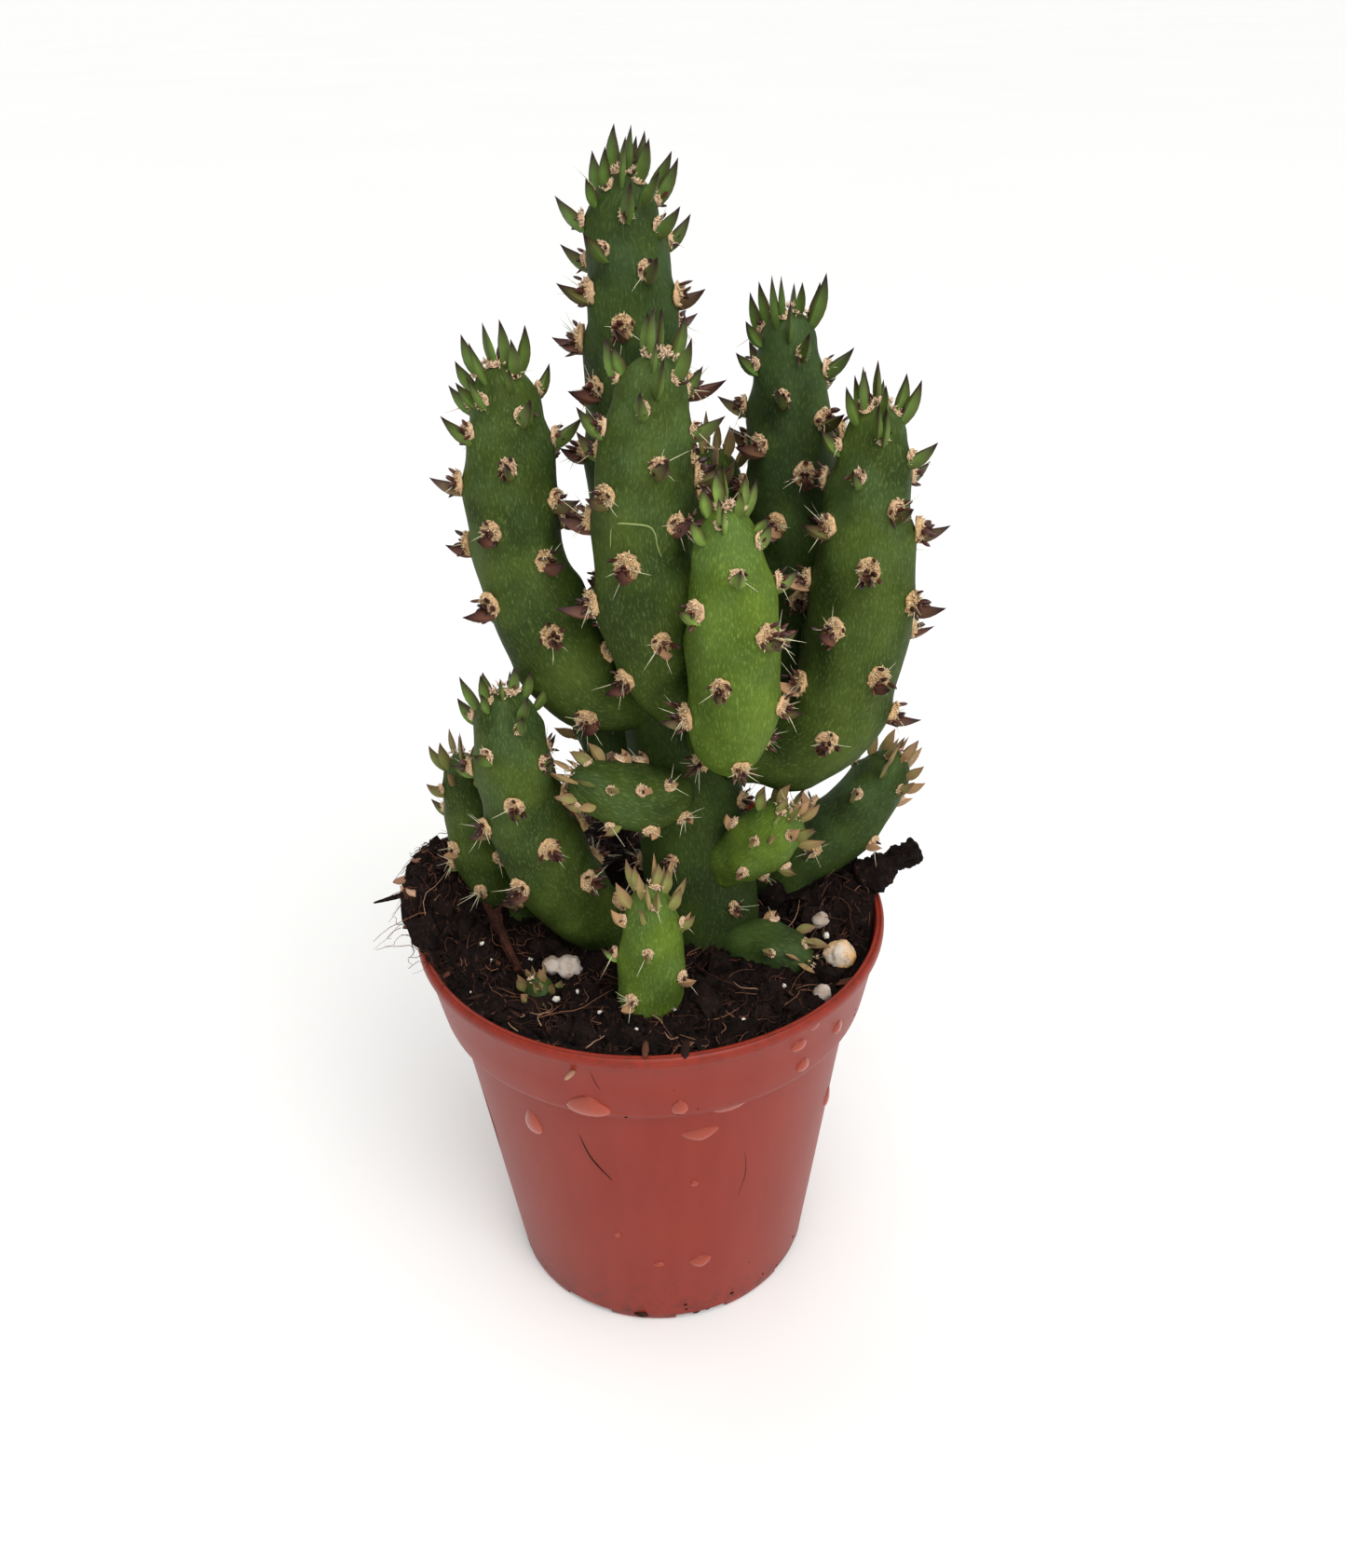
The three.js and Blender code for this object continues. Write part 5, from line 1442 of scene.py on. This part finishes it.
class CACTUS_OT_skins(bpy.types.Operator):
    """Gives each stem a fine skin with tubercles, standing for its CAD node."""

    bl_idname = "cactus.skins"
    bl_label = "Stem skins"

    def execute(self, context):
        sizes = context.scene.cactus_stem
        finishes = {
            "stem": skin_material("cactus_skin", linear("#2b3914"), rgba(sizes.green), linear("#6d7f45")),
            "stem_dark": skin_material("cactus_skin_dark", linear("#28351a"), rgba(sizes.dark_green),
                                       linear("#5c6c3c")),
            "stem_bright": skin_material("cactus_skin_bright", linear("#415517"), rgba(sizes.bright_green),
                                         linear("#86a04c")),
        }
        for stem in stems:
            rows = max(12, round(stem.length / (sizes.row_step / MM)))
            skin = add_rod(sizes.sides if stem.length > 8 else 36, rows)
            points = read_points(skin)
            row = np.rint((points[:, 2] + 0.5) * rows)
            dome_rows = 12
            lengths = np.concatenate([
                np.linspace(stem.length, DOME_ZONE, rows - dome_rows, endpoint=False),
                DOME_ZONE * (1 - np.sin(np.linspace(0, math.pi / 2, dome_rows + 1))),
            ])
            pole = np.hypot(points[:, 0], points[:, 1]) < 0.5
            from_tip = np.maximum(lengths[row.astype(int)], 0.002)
            bearing = np.arctan2(points[:, 1], points[:, 0])
            height = sizes.tubercle / MM
            swell = stem.relief(from_tip, bearing, 1.0)
            fade = smoothstep(from_tip, 0.2, 3.0)
            place, _, _, _ = stem.surface(from_tip, bearing, swell * height * fade)
            at, radius, along, _, _ = stem.sample(from_tip)
            centre = at + along * (radius * DOME_SHARE * np.maximum(0, 1 - from_tip / DOME_ZONE))[:, None]
            place = np.where(pole[:, None], centre, place)
            write_points(skin, place)
            straight = np.stack([radius * np.cos(bearing), radius * np.sin(bearing), from_tip], -1)
            write_values(skin.data, "straight", straight + stem.seed * 40.0)
            bloom_share = np.minimum(from_tip / BLOOM_REACH, 1.0)
            write_values(skin.data, "swell", np.stack([swell, bloom_share, swell], -1))
            finish_piece(skin, stem.name + "_skin", stem.slot, finishes[stem.slot], (stem.name,))
        return {"FINISHED"}


class CACTUS_OT_scar(bpy.types.Operator):
    """Draws the pale arched scar on the front of the front left branch."""

    bl_idname = "cactus.scar"
    bl_label = "Scar"

    # The arch from foot to foot: length from the tip and offset across the stem's front, and half
    # its thickness
    ARCH = [(SCAR_TOP + 2.5, -3.1), (SCAR_TOP + 1.3, -3.05), (SCAR_TOP + 0.55, -2.85),
            (SCAR_TOP + 0.12, -2.3),
            (SCAR_TOP, -1.4), (SCAR_TOP + 0.02, 0.1), (SCAR_TOP + 0.35, 0.9), (SCAR_TOP + 1.1, 1.3),
            (SCAR_TOP + 2.2, 1.5), (SCAR_TOP + 3.4, 1.9)]
    THICK = 0.1

    def execute(self, context):
        stem = next(stem for stem in stems if stem.name == "branch_front_left")
        rows = 40
        path = smooth_path(self.ARCH, rows)
        radius = stem.sample(path[:, 0])[1]
        points = stem.surface(path[:, 0], path[:, 1] / radius, np.full(rows + 1, 0.04))[0]
        scar = add_rod(8, rows)
        radii = self.THICK * np.sin(np.linspace(0.1, math.pi - 0.1, rows + 1)) ** 0.4
        write_points(scar, bend_rod(read_points(scar), points, radii))
        finish_piece(scar, "scar_arch", "stem", scar_material())
        return {"FINISHED"}


class CACTUS_OT_leaves(bpy.types.Operator):
    """Sets the awl-shaped leaves, one shape laid along each leaf's own curve."""

    bl_idname = "cactus.leaves"
    bl_label = "Leaves"

    # Girth along the leaf, from the root under the skin to the point; its section, seam side first, and how
    # dark each corner of it is, which is partly the purple-brown seam and partly painted shade along the
    # leaf's outline
    GIRTHS = [(0, 0.5), (0.1, 0.62), (0.26, 0.88), (0.4, 1.0), (0.58, 0.86), (0.78, 0.5),
              (0.91, 0.2), (1, 0.02)]
    SECTION = [(0.87, 0.5), (0.0, 1.0), (-0.87, 0.5), (-0.87, -0.5), (0.0, -1.0), (0.87, -0.5)]
    SEAM_AND_OUTLINE_SHADE = [0.5, 1.0, 0.5, 0.3, 0.78, 0.3]
    ROSETTE_EXTRA = 8
    LOW_ROSETTE_EXTRA = 11

    def execute(self, context):
        sizes = context.scene.cactus_leaf
        material = leaf_material(rgba(sizes.young), rgba(sizes.old), rgba(sizes.tip))
        shape = self.shape()
        for stem in stems:
            rng = np.random.default_rng(SEED + 100 + stem.seed)
            bright = {"stem": 0.25, "stem_dark": 0.0, "stem_bright": 0.9}[stem.slot]
            copies, places, kinds = [], [], []
            for areole in stem.areoles:
                wide = rng.uniform(0.9, 1.08) * (0.8 if stem.length < LOW_SHOOT else 1.0)
                age = float(smoothstep(areole["from_tip"], 1, 18)) * stem.dryness + rng.uniform(-0.12, 0.12)
                curl = rng.normal(0, 0.12)
                dry = rng.random() < self.withered(stem, areole["from_tip"])
                if areole["leaf"] is None:
                    continue
                old_leaf = float(smoothstep(areole["from_tip"], 34, 60))
                line = self.shrink(areole["leaf"], 0.995 - 0.5 * old_leaf)
                young = float(smoothstep(areole["from_tip"], 0.3, 4.0))
                points, place = self.lay(shape, line, sizes, wide * (0.72 + 0.28 * young), curl)
                copies.append(points)
                places.append(np.column_stack([place, np.full(len(place), np.clip(age, 0, 1))]))
                dried = 0.85 if dry else 0.0
                if stem.length < LOW_SHOOT and not dry:
                    dried = 0.3 * (1 - float(smoothstep(areole["from_tip"], 3, 9)))
                kinds.append(np.tile([bright, dried, 0], (len(place), 1)))
            for line, wide in self.rosette(stem, rng):
                points, place = self.lay(shape, line, sizes, wide, 0.0)
                copies.append(points)
                places.append(np.column_stack([place, np.zeros(len(place))]))
                pale = rng.uniform(0.1, 0.7) if stem.length < LOW_SHOOT else 0.0
                kinds.append(np.tile([bright, pale, 0], (len(place), 1)))
            leaf_group = (np.array(copies), shape["faces"], np.array(places))
            piece = join_copies("leaves", [leaf_group], "leaf_place")
            write_values(piece.data, "leaf_kind", np.concatenate(kinds))
            finish_piece(piece, stem.name + "_leaves", stem.slot, material, angle_deg=65)
        return {"FINISHED"}

    def withered(self, stem, from_tip):
        """The share of dry leaves at a length from the tip: more on the low shoots and the old trunk."""
        if stem.length < LOW_SHOOT:
            return 0.2 + 0.45 * float(smoothstep(from_tip, 1, 7))
        return 0.08 * float(smoothstep(from_tip, 8, 16)) + 0.6 * float(smoothstep(from_tip, 34, 50))

    def shape(self):
        """The straight leaf, as each point's share of the length and its width and depth there."""
        rod, faces = take_shape(add_rod(len(self.SECTION), 7))
        corner = np.rint(np.arctan2(rod[:, 1], rod[:, 0]) / (2 * math.pi / len(self.SECTION))).astype(int)
        section = np.array(self.SECTION)[corner % len(self.SECTION)]
        pole = np.hypot(rod[:, 0], rod[:, 1]) < 0.5
        section = np.where(pole[:, None], (0.0, 0.0), section)
        share = (rod[:, 2] + 0.5) ** 0.9
        rooted = np.clip(1 - share / 0.1, 0.0, 1.0)[:, None]
        return {
            "faces": faces, "rooted": rooted, "along": np.clip((share - 0.1) / 0.9, 0.0, 1.0),
            "side": section[:, 0] * np.interp(share, *zip(*self.GIRTHS)),
            "inner": section[:, 1] * np.interp(share, *zip(*self.GIRTHS)),
            "edge": np.where(pole, 0.3, np.array(self.SEAM_AND_OUTLINE_SHADE)[corner % len(self.SECTION)]),
        }

    def lay(self, shape, line, sizes, wide, curl):
        """Lays the leaf along its line and gives its points, their share along it and the darkness of its
        seam and painted outline shade.
        """
        along = shape["along"]
        middle = self.curve(line, along)
        slope = unit(self.curve(line, along + 0.02) - self.curve(line, along - 0.02))
        sideways = line["sideways"] * math.cos(curl) + line["inner"] * math.sin(curl)
        inner = np.cross(slope, sideways)
        scale = 0.62 + 0.38 * min(1.2, line["length"] / 5.0)
        half_width = sizes.width / MM / 2 * scale * wide
        half_depth = sizes.thickness / MM / 2 * scale
        rooted = shape["rooted"]
        middle = middle * (1 - rooted) + (line["heel"] * (1 - rooted) + line["root"] * rooted) * rooted
        points = (middle + sideways * (shape["side"] * half_width)[:, None]
                  + inner * (shape["inner"] * half_depth)[:, None])
        return points, np.stack([along, shape["edge"]], -1)

    def shrink(self, line, share):
        """The same leaf, shorter."""
        short = dict(line)
        short["belly"] = line["heel"] + (line["belly"] - line["heel"]) * share
        short["tip"] = line["heel"] + (line["tip"] - line["heel"]) * share
        short["length"] = line["length"] * share
        return short

    def rosette(self, stem, rng):
        """Young upright leaves at the stem's tip, between the areoles' own."""
        low_shoot = stem.length < LOW_SHOOT
        count = self.LOW_ROSETTE_EXTRA if low_shoot else self.ROSETTE_EXTRA
        for number in range(count):
            from_tip = 0.2 + 1.7 * number / count
            bearing = stem.bearing(number + 0.5) + rng.uniform(-0.3, 0.3)
            place = (*stem.surface(np.array(from_tip), np.array(bearing)), from_tip)
            lean = math.radians(5 + 34 * number / count + rng.uniform(-4, 4))
            longest = 1.0 if stem.name == "main_stem" else 1.3
            length = stem.leaf_top * (rng.uniform(0.95, 1.35) if low_shoot else rng.uniform(0.65, longest))
            wide = rng.uniform(0.36, 0.52) if low_shoot else rng.uniform(0.5, 0.72)
            line = leaf_line(place, length, lean)
            room = limit_length(line["heel"], unit(line["tip"] - line["heel"]), length)
            yield self.shrink(line, room / length), wide

    def curve(self, line, along):
        """A curve through heel, belly and tip."""
        mid = 0.45
        along = np.asarray(along)[:, None]
        first = (along - mid) * (along - 1) / mid
        second = along * (along - 1) / (mid * (mid - 1))
        third = along * (along - mid) / (1 - mid)
        return line["heel"] * first + line["belly"] * second + line["tip"] * third


class CACTUS_OT_areoles(bpy.types.Operator):
    """Sets the woolly areoles with their bud scales and spines."""

    bl_idname = "cactus.areoles"
    bl_label = "Areoles"

    def execute(self, context):
        sizes = context.scene.cactus_areole
        tubercle = context.scene.cactus_stem.tubercle / MM
        wool = wool_material(rgba(sizes.wool))
        scale = bud_scale_material(rgba(sizes.scale))
        spine = spine_material(rgba(sizes.spine))
        shapes = self.shapes()
        for stem in stems:
            rng = np.random.default_rng(SEED + 200 + stem.seed)
            mounds, mound_values, wisps, wisp_values = [], [], [], []
            scales, scale_values, spines = [], [], []
            for areole in stem.areoles:
                place = self.place(stem, areole, tubercle)
                grown = 0.56 + 0.44 * float(smoothstep(areole["from_tip"], 1, 14))
                radius = sizes.wool_radius / MM * grown * rng.uniform(0.85, 1.14)
                radius *= 1 - 0.25 * float(smoothstep(areole["from_tip"], 40, 62))
                if stem.length < LOW_SHOOT:
                    radius *= 0.76
                if stem.length < SPROUT:
                    radius *= 0.6
                pink = 1 - float(smoothstep(areole["from_tip"], 3, 14))
                pink = np.clip(pink * 0.5 + rng.uniform(-0.15, 0.15), 0, 0.6)
                points = self.mound(rng, shapes["mound"][0], place, radius)
                mounds.append(points)
                mound_values.append(np.tile([0.05, pink, 0], (len(points), 1)))
                for _ in range(round(sizes.wisps * (0.5 + 0.5 * grown))):
                    wisps.append(self.wisp(rng, shapes["wisp"][0], place, radius, 1 + 0.5 * (1 - grown)))
                    wisp_values.append(np.tile([rng.uniform(0.1, 0.9), pink, 0], (len(shapes["wisp"][0]), 1)))
                self.add_scales(rng, shapes["scale"][0], place, radius, areole, stem, scales, scale_values)
                self.add_spines(rng, shapes["spine"][0], place, radius, areole, sizes, spines)
            crown = self.crown(stem)
            low_shoot = stem.length < LOW_SHOOT
            for _ in range(round(CROWN_WISPS * (0.3 if low_shoot else 1.0))):
                wisps.append(self.wisp(rng, shapes["wisp"][0], crown, stem.radius[-1] * 0.8, 1.1))
                wisp_values.append(np.tile([rng.uniform(0.2, 0.9), 0.7, 0], (len(shapes["wisp"][0]), 1)))
            groups = [(np.array(mounds), shapes["mound"][1], np.array(mound_values)),
                      (np.array(wisps), shapes["wisp"][1], np.array(wisp_values))]
            piece = join_copies("wool", groups, "shade")
            finish_piece(piece, stem.name + "_wool", stem.slot, wool)
            if scales:
                scale_group = (np.array(scales), shapes["scale"][1], np.array(scale_values))
                piece = join_copies("scales", [scale_group], "shade")
                finish_piece(piece, stem.name + "_scales", stem.slot, scale)
            if spines:
                piece = join_copies("spines", [(np.array(spines), shapes["spine"][1], None)])
                finish_piece(piece, stem.name + "_spines", stem.slot, spine)
        return {"FINISHED"}

    def shapes(self):
        """The wool's mound and wisp, a bud scale and a spine, each modelled once."""
        made = {}
        deselect_all()
        bpy.ops.mesh.primitive_ico_sphere_add(subdivisions=2, radius=1.0)
        mound = bpy.context.object
        cut_foot()
        made["mound"] = take_shape(mound)
        deselect_all()
        bpy.ops.mesh.primitive_cone_add(vertices=3, radius1=1.0, radius2=0.0, depth=1.0, location=(0, 0, 0.5))
        bpy.ops.object.transform_apply(location=True, rotation=False, scale=False)
        made["wisp"] = take_shape(bpy.context.object)
        made["scale"] = take_shape(add_rod(5, 4))
        made["spine"] = take_shape(add_rod(4, SPINE_ROWS))
        return made

    def crown(self, stem):
        """The top of the stem's dome, where wool stands between the youngest leaves."""
        top = stem.at[-1] + stem.along[-1] * stem.radius[-1] * DOME_SHARE * 0.6
        return {"at": top, "normal": stem.along[-1], "side": stem.side[-1], "up": stem.across[-1]}

    def place(self, stem, areole, tubercle):
        """The areole's centre on the swollen skin with its three directions."""
        from_tip = np.array([areole["from_tip"]])
        bearing = np.array([areole["bearing"]])
        lift = stem.relief(from_tip, bearing, 1.0) * tubercle * smoothstep(from_tip, 0.2, 3.0)
        point, _, _, _ = stem.surface(from_tip, bearing, lift)
        upward = np.cross(areole["normal"], areole["sideways"])
        upward = upward if upward.dot(areole["along"]) > 0 else -upward
        at = point[0] + upward * WOOL_ABOVE * min(1.0, areole["from_tip"] / 4)
        return {"at": at, "normal": areole["normal"], "side": areole["sideways"], "up": upward}

    def lay(self, place, local):
        return (place["at"] + place["side"] * local[..., 0:1] + place["up"] * local[..., 1:2]
                + place["normal"] * local[..., 2:3])

    def mound(self, rng, shape, place, radius):
        local = shape * (1 + 0.12 * rng.normal(size=(len(shape), 1)).clip(-1.5, 1.5))
        return self.lay(place, local * (radius * 0.84, radius * 0.9, radius * 0.4))

    def wisp(self, rng, shape, place, radius, reach=1.0):
        """One pointed wisp of hair, flatter towards the areole's rim."""
        turned = rng.uniform(0, 2 * math.pi)
        out = math.sqrt(rng.uniform(0.02, 1.0))
        start = np.array([math.cos(turned) * out * 0.76, math.sin(turned) * out * 0.88,
                          0.38 * math.sqrt(max(0.0, 1 - out**2)) + 0.02]) * radius
        flat = 0.1 + 0.4 * out
        direction = np.array([math.cos(turned) * flat, math.sin(turned) * flat, 1.0 - 0.4 * out])
        direction = unit(direction + rng.normal(0, 0.35, 3))
        side = unit(np.cross(direction, (0.3, 0.2, 1.0)))
        other = np.cross(direction, side)
        length = rng.uniform(0.2, 0.46) * (0.5 + 0.5 * radius) * reach
        thick = rng.uniform(0.09, 0.18)
        local = (start + side * shape[:, 0:1] * thick + other * shape[:, 1:2] * thick
                 + direction * shape[:, 2:3] * length)
        return self.lay(place, local)

    def add_scales(self, rng, shape, place, radius, areole, stem, scales, values):
        """Dark pointed scales: two or three near the tip, five to nine below, at most two on small ones."""
        count = int(rng.integers(2, 4)) if areole["from_tip"] < 5 else int(rng.integers(5, 10))
        if radius < 0.8:
            count = min(count, 2)
        if stem.length < LOW_SHOOT:
            count = min(count, 1)
        turned = rng.uniform(0, 2 * math.pi)
        share = shape[:, 2] + 0.5
        width = np.interp(share, [0, 0.3, 0.6, 0.85, 1], [0.8, 1.0, 0.92, 0.55, 0.05])
        for number in range(count):
            turned += 2 * math.pi / count + rng.normal(0, 0.3)
            out = 0.25 + 0.6 * (number % 2) + rng.uniform(-0.12, 0.08)
            start = np.array([math.cos(turned) * out, math.sin(turned) * out,
                              0.42 * math.sqrt(1 - out**2) + 0.2]) * radius
            direction = unit(np.array([math.cos(turned) * 0.55, math.sin(turned) * 0.55 + 0.1, 1.0])
                             + rng.normal(0, 0.15, 3))
            side = unit(np.cross(direction, (-math.sin(turned) * 0.2, math.cos(turned) * 0.2, 1.0)))
            other = np.cross(direction, side)
            length = rng.uniform(0.75, 1.0) if rng.random() < 0.85 else rng.uniform(1.1, 1.5)
            length *= 0.45 + 0.45 * radius
            half = rng.uniform(0.23, 0.33) * (0.55 + 0.4 * radius)
            local = (start - direction * 0.1 + side * (shape[:, 0] * width * half)[:, None]
                     + other * (shape[:, 1] * width * half * 0.55)[:, None]
                     + direction * (share * length)[:, None])
            scales.append(self.lay(place, local))
            values.append(np.stack([share, np.full(len(share), rng.uniform(0, 0.35)), share], -1))

    def add_spines(self, rng, shape, place, radius, areole, sizes, spines):
        """Fine pale spines: none near the tip, up to seven on old areoles."""
        most = 7.0 * float(smoothstep(areole["from_tip"], 3, 17))
        count = int(rng.uniform(0.3 * most, most + 1.2))
        directions = [] if areole["needle"] is None else [areole["needle"]]
        for _ in range(count):
            turned = rng.uniform(0, 2 * math.pi)
            flat = rng.uniform(0.6, 2.6)
            direction = unit(place["normal"] + place["side"] * math.cos(turned) * flat
                             + place["up"] * (math.sin(turned) * flat))
            directions.append(direction)
        share = np.linspace(0, 1, SPINE_ROWS + 1)
        for direction in directions:
            length = sizes.spine_length / MM * rng.uniform(0.5, 1.2)
            start = place["at"] + place["normal"] * radius * 0.2 + direction * 0.1
            length = limit_length(start, direction, length)
            bend = unit(np.cross(direction, rng.normal(size=3))) * rng.uniform(0, 0.12) * length
            path = start + direction * (share * length)[:, None] + bend * (share**2)[:, None]
            spines.append(bend_rod(shape, path, SPINE_RADIUS * (1 - 0.85 * share**1.5)))


def limit_length(start, direction, length):
    """Shortens a straight piece so that it stays inside the CAD model's box."""
    low = np.array(cad_low) / MM + 0.15
    high = np.array(cad_high) / MM - 0.15
    for axis in range(3):
        if direction[axis] > 1e-6:
            length = min(length, (high[axis] - start[axis]) / direction[axis])
        elif direction[axis] < -1e-6:
            length = min(length, (low[axis] - start[axis]) / direction[axis])
    return max(length, 0.1)


class CACTUS_OT_stage(bpy.types.Operator):
    """Sets the floor, the softboxes, the pale surround and the camera."""

    bl_idname = "cactus.stage"
    bl_label = "Stage"

    def execute(self, context):
        settings = context.scene.cactus_stage
        scene = context.scene
        deselect_all()
        bpy.ops.mesh.primitive_circle_add(vertices=96, radius=settings.floor_radius, fill_type="NGON")
        floor = bpy.context.object
        floor.name = "studio_floor"
        bpy.ops.object.mode_set(mode="EDIT")
        bpy.ops.mesh.select_all(action="SELECT")
        bpy.ops.mesh.inset(thickness=settings.floor_radius * 0.2)
        bpy.ops.object.mode_set(mode="OBJECT")
        floor.data.materials.append(floor_material())
        self.sun("front_light", settings.front_light, settings.front_from)
        self.sun("back_light", settings.back_light, settings.back_from)
        self.softbox("glint_softbox", (0.22, -0.42, 0.5), 0.3, settings.glint_light)
        world = bpy.data.worlds.new("pale_surround")
        world.use_nodes = True
        background = next(node for node in world.node_tree.nodes if node.type == "BACKGROUND")
        background.inputs["Color"].default_value = linear("#ffffff")
        background.inputs["Strength"].default_value = settings.sky
        scene.world = world
        scene.view_settings.view_transform = "Standard"
        self.camera(scene)
        return {"FINISHED"}

    def sun(self, name, strength, place):
        """A broad, even light that comes from the side of a far place."""
        deselect_all()
        bpy.ops.object.light_add(type="SUN", location=place)
        light = bpy.context.object
        light.name = name
        light.data.energy = strength
        light.data.angle = math.radians(SUN_ANGLE_DEG)
        light.rotation_euler = (-Vector(place)).to_track_quat("-Z", "Y").to_euler()

    def softbox(self, name, place, size, power):
        deselect_all()
        bpy.ops.object.light_add(type="AREA", location=place)
        light = bpy.context.object
        light.name = name
        light.data.size = size
        light.data.energy = power
        aim = Vector((0, 0, 0.04)) - Vector(place)
        light.rotation_euler = aim.to_track_quat("-Z", "Y").to_euler()

    def camera(self, scene):
        yaw = math.radians(CAMERA_YAW_DEG)
        pitch = math.radians(CAMERA_PITCH_DEG)
        roll = math.radians(CAMERA_ROLL_DEG)
        forward = Vector((math.sin(yaw) * math.cos(pitch), math.cos(yaw) * math.cos(pitch), -math.sin(pitch)))
        right = forward.cross(Vector((0, 0, 1))).normalized()
        up = right.cross(forward)
        right, up = right * math.cos(roll) + up * math.sin(roll), up * math.cos(roll) - right * math.sin(roll)
        deselect_all()
        bpy.ops.object.camera_add(location=[v * MM for v in CAMERA_PLACE])
        camera = bpy.context.object
        camera.name = "photo_camera"
        camera.rotation_euler = Matrix((right, up, -forward)).transposed().to_euler()
        camera.data.sensor_width = SENSOR_MM
        camera.data.lens = FOCAL_PIXELS / FRAME_HEIGHT_PIXELS * SENSOR_MM
        camera.data.clip_start = 0.005
        camera.data.clip_end = 200.0
        scene.camera = camera


OPERATORS = (CACTUS_OT_pot, CACTUS_OT_pot_marks, CACTUS_OT_soil, CACTUS_OT_soil_litter,
             CACTUS_OT_loose_pieces,
             CACTUS_OT_skins, CACTUS_OT_scar, CACTUS_OT_leaves, CACTUS_OT_areoles, CACTUS_OT_stage)
SETTINGS = {
    "cactus_pot": CactusPotSettings, "cactus_soil": CactusSoilSettings, "cactus_stem": CactusStemSettings,
    "cactus_areole": CactusAreoleSettings, "cactus_leaf": CactusLeafSettings,
    "cactus_stage": CactusStageSettings,
}


class CACTUS_PT_panel(bpy.types.Panel):
    """Lists the settings and the steps that build the cactus."""

    bl_idname = "CACTUS_PT_panel"
    bl_label = "Potted cactus"
    bl_space_type = "VIEW_3D"
    bl_region_type = "UI"
    bl_category = "Cactus"

    def draw(self, context):
        for name, group in SETTINGS.items():
            box = self.layout.box()
            box.label(text=group.__doc__.rstrip("."))
            for key in group.__annotations__:
                box.prop(getattr(context.scene, name), key)
        for operator in OPERATORS:
            self.layout.operator(operator.bl_idname)


def register():
    for group in SETTINGS.values():
        bpy.utils.register_class(group)
    for operator in OPERATORS:
        bpy.utils.register_class(operator)
    bpy.utils.register_class(CACTUS_PT_panel)
    for name, group in SETTINGS.items():
        setattr(bpy.types.Scene, name, PointerProperty(type=group))


def unregister():
    for name in SETTINGS:
        delattr(bpy.types.Scene, name)
    bpy.utils.unregister_class(CACTUS_PT_panel)
    for operator in reversed(OPERATORS):
        bpy.utils.unregister_class(operator)
    for group in SETTINGS.values():
        bpy.utils.unregister_class(group)


stems = [Stem(number + 1, row) for number, row in enumerate(STEMS)]
plan_areoles(stems)


def main():
    register()
    bpy.ops.cactus.pot()
    bpy.ops.cactus.pot_marks()
    bpy.ops.cactus.soil()
    bpy.ops.cactus.soil_litter()
    bpy.ops.cactus.loose_pieces()
    bpy.ops.cactus.skins()
    bpy.ops.cactus.scar()
    bpy.ops.cactus.leaves()
    bpy.ops.cactus.areoles()
    bpy.ops.cactus.stage()


if __name__ == "__main__":
    main()
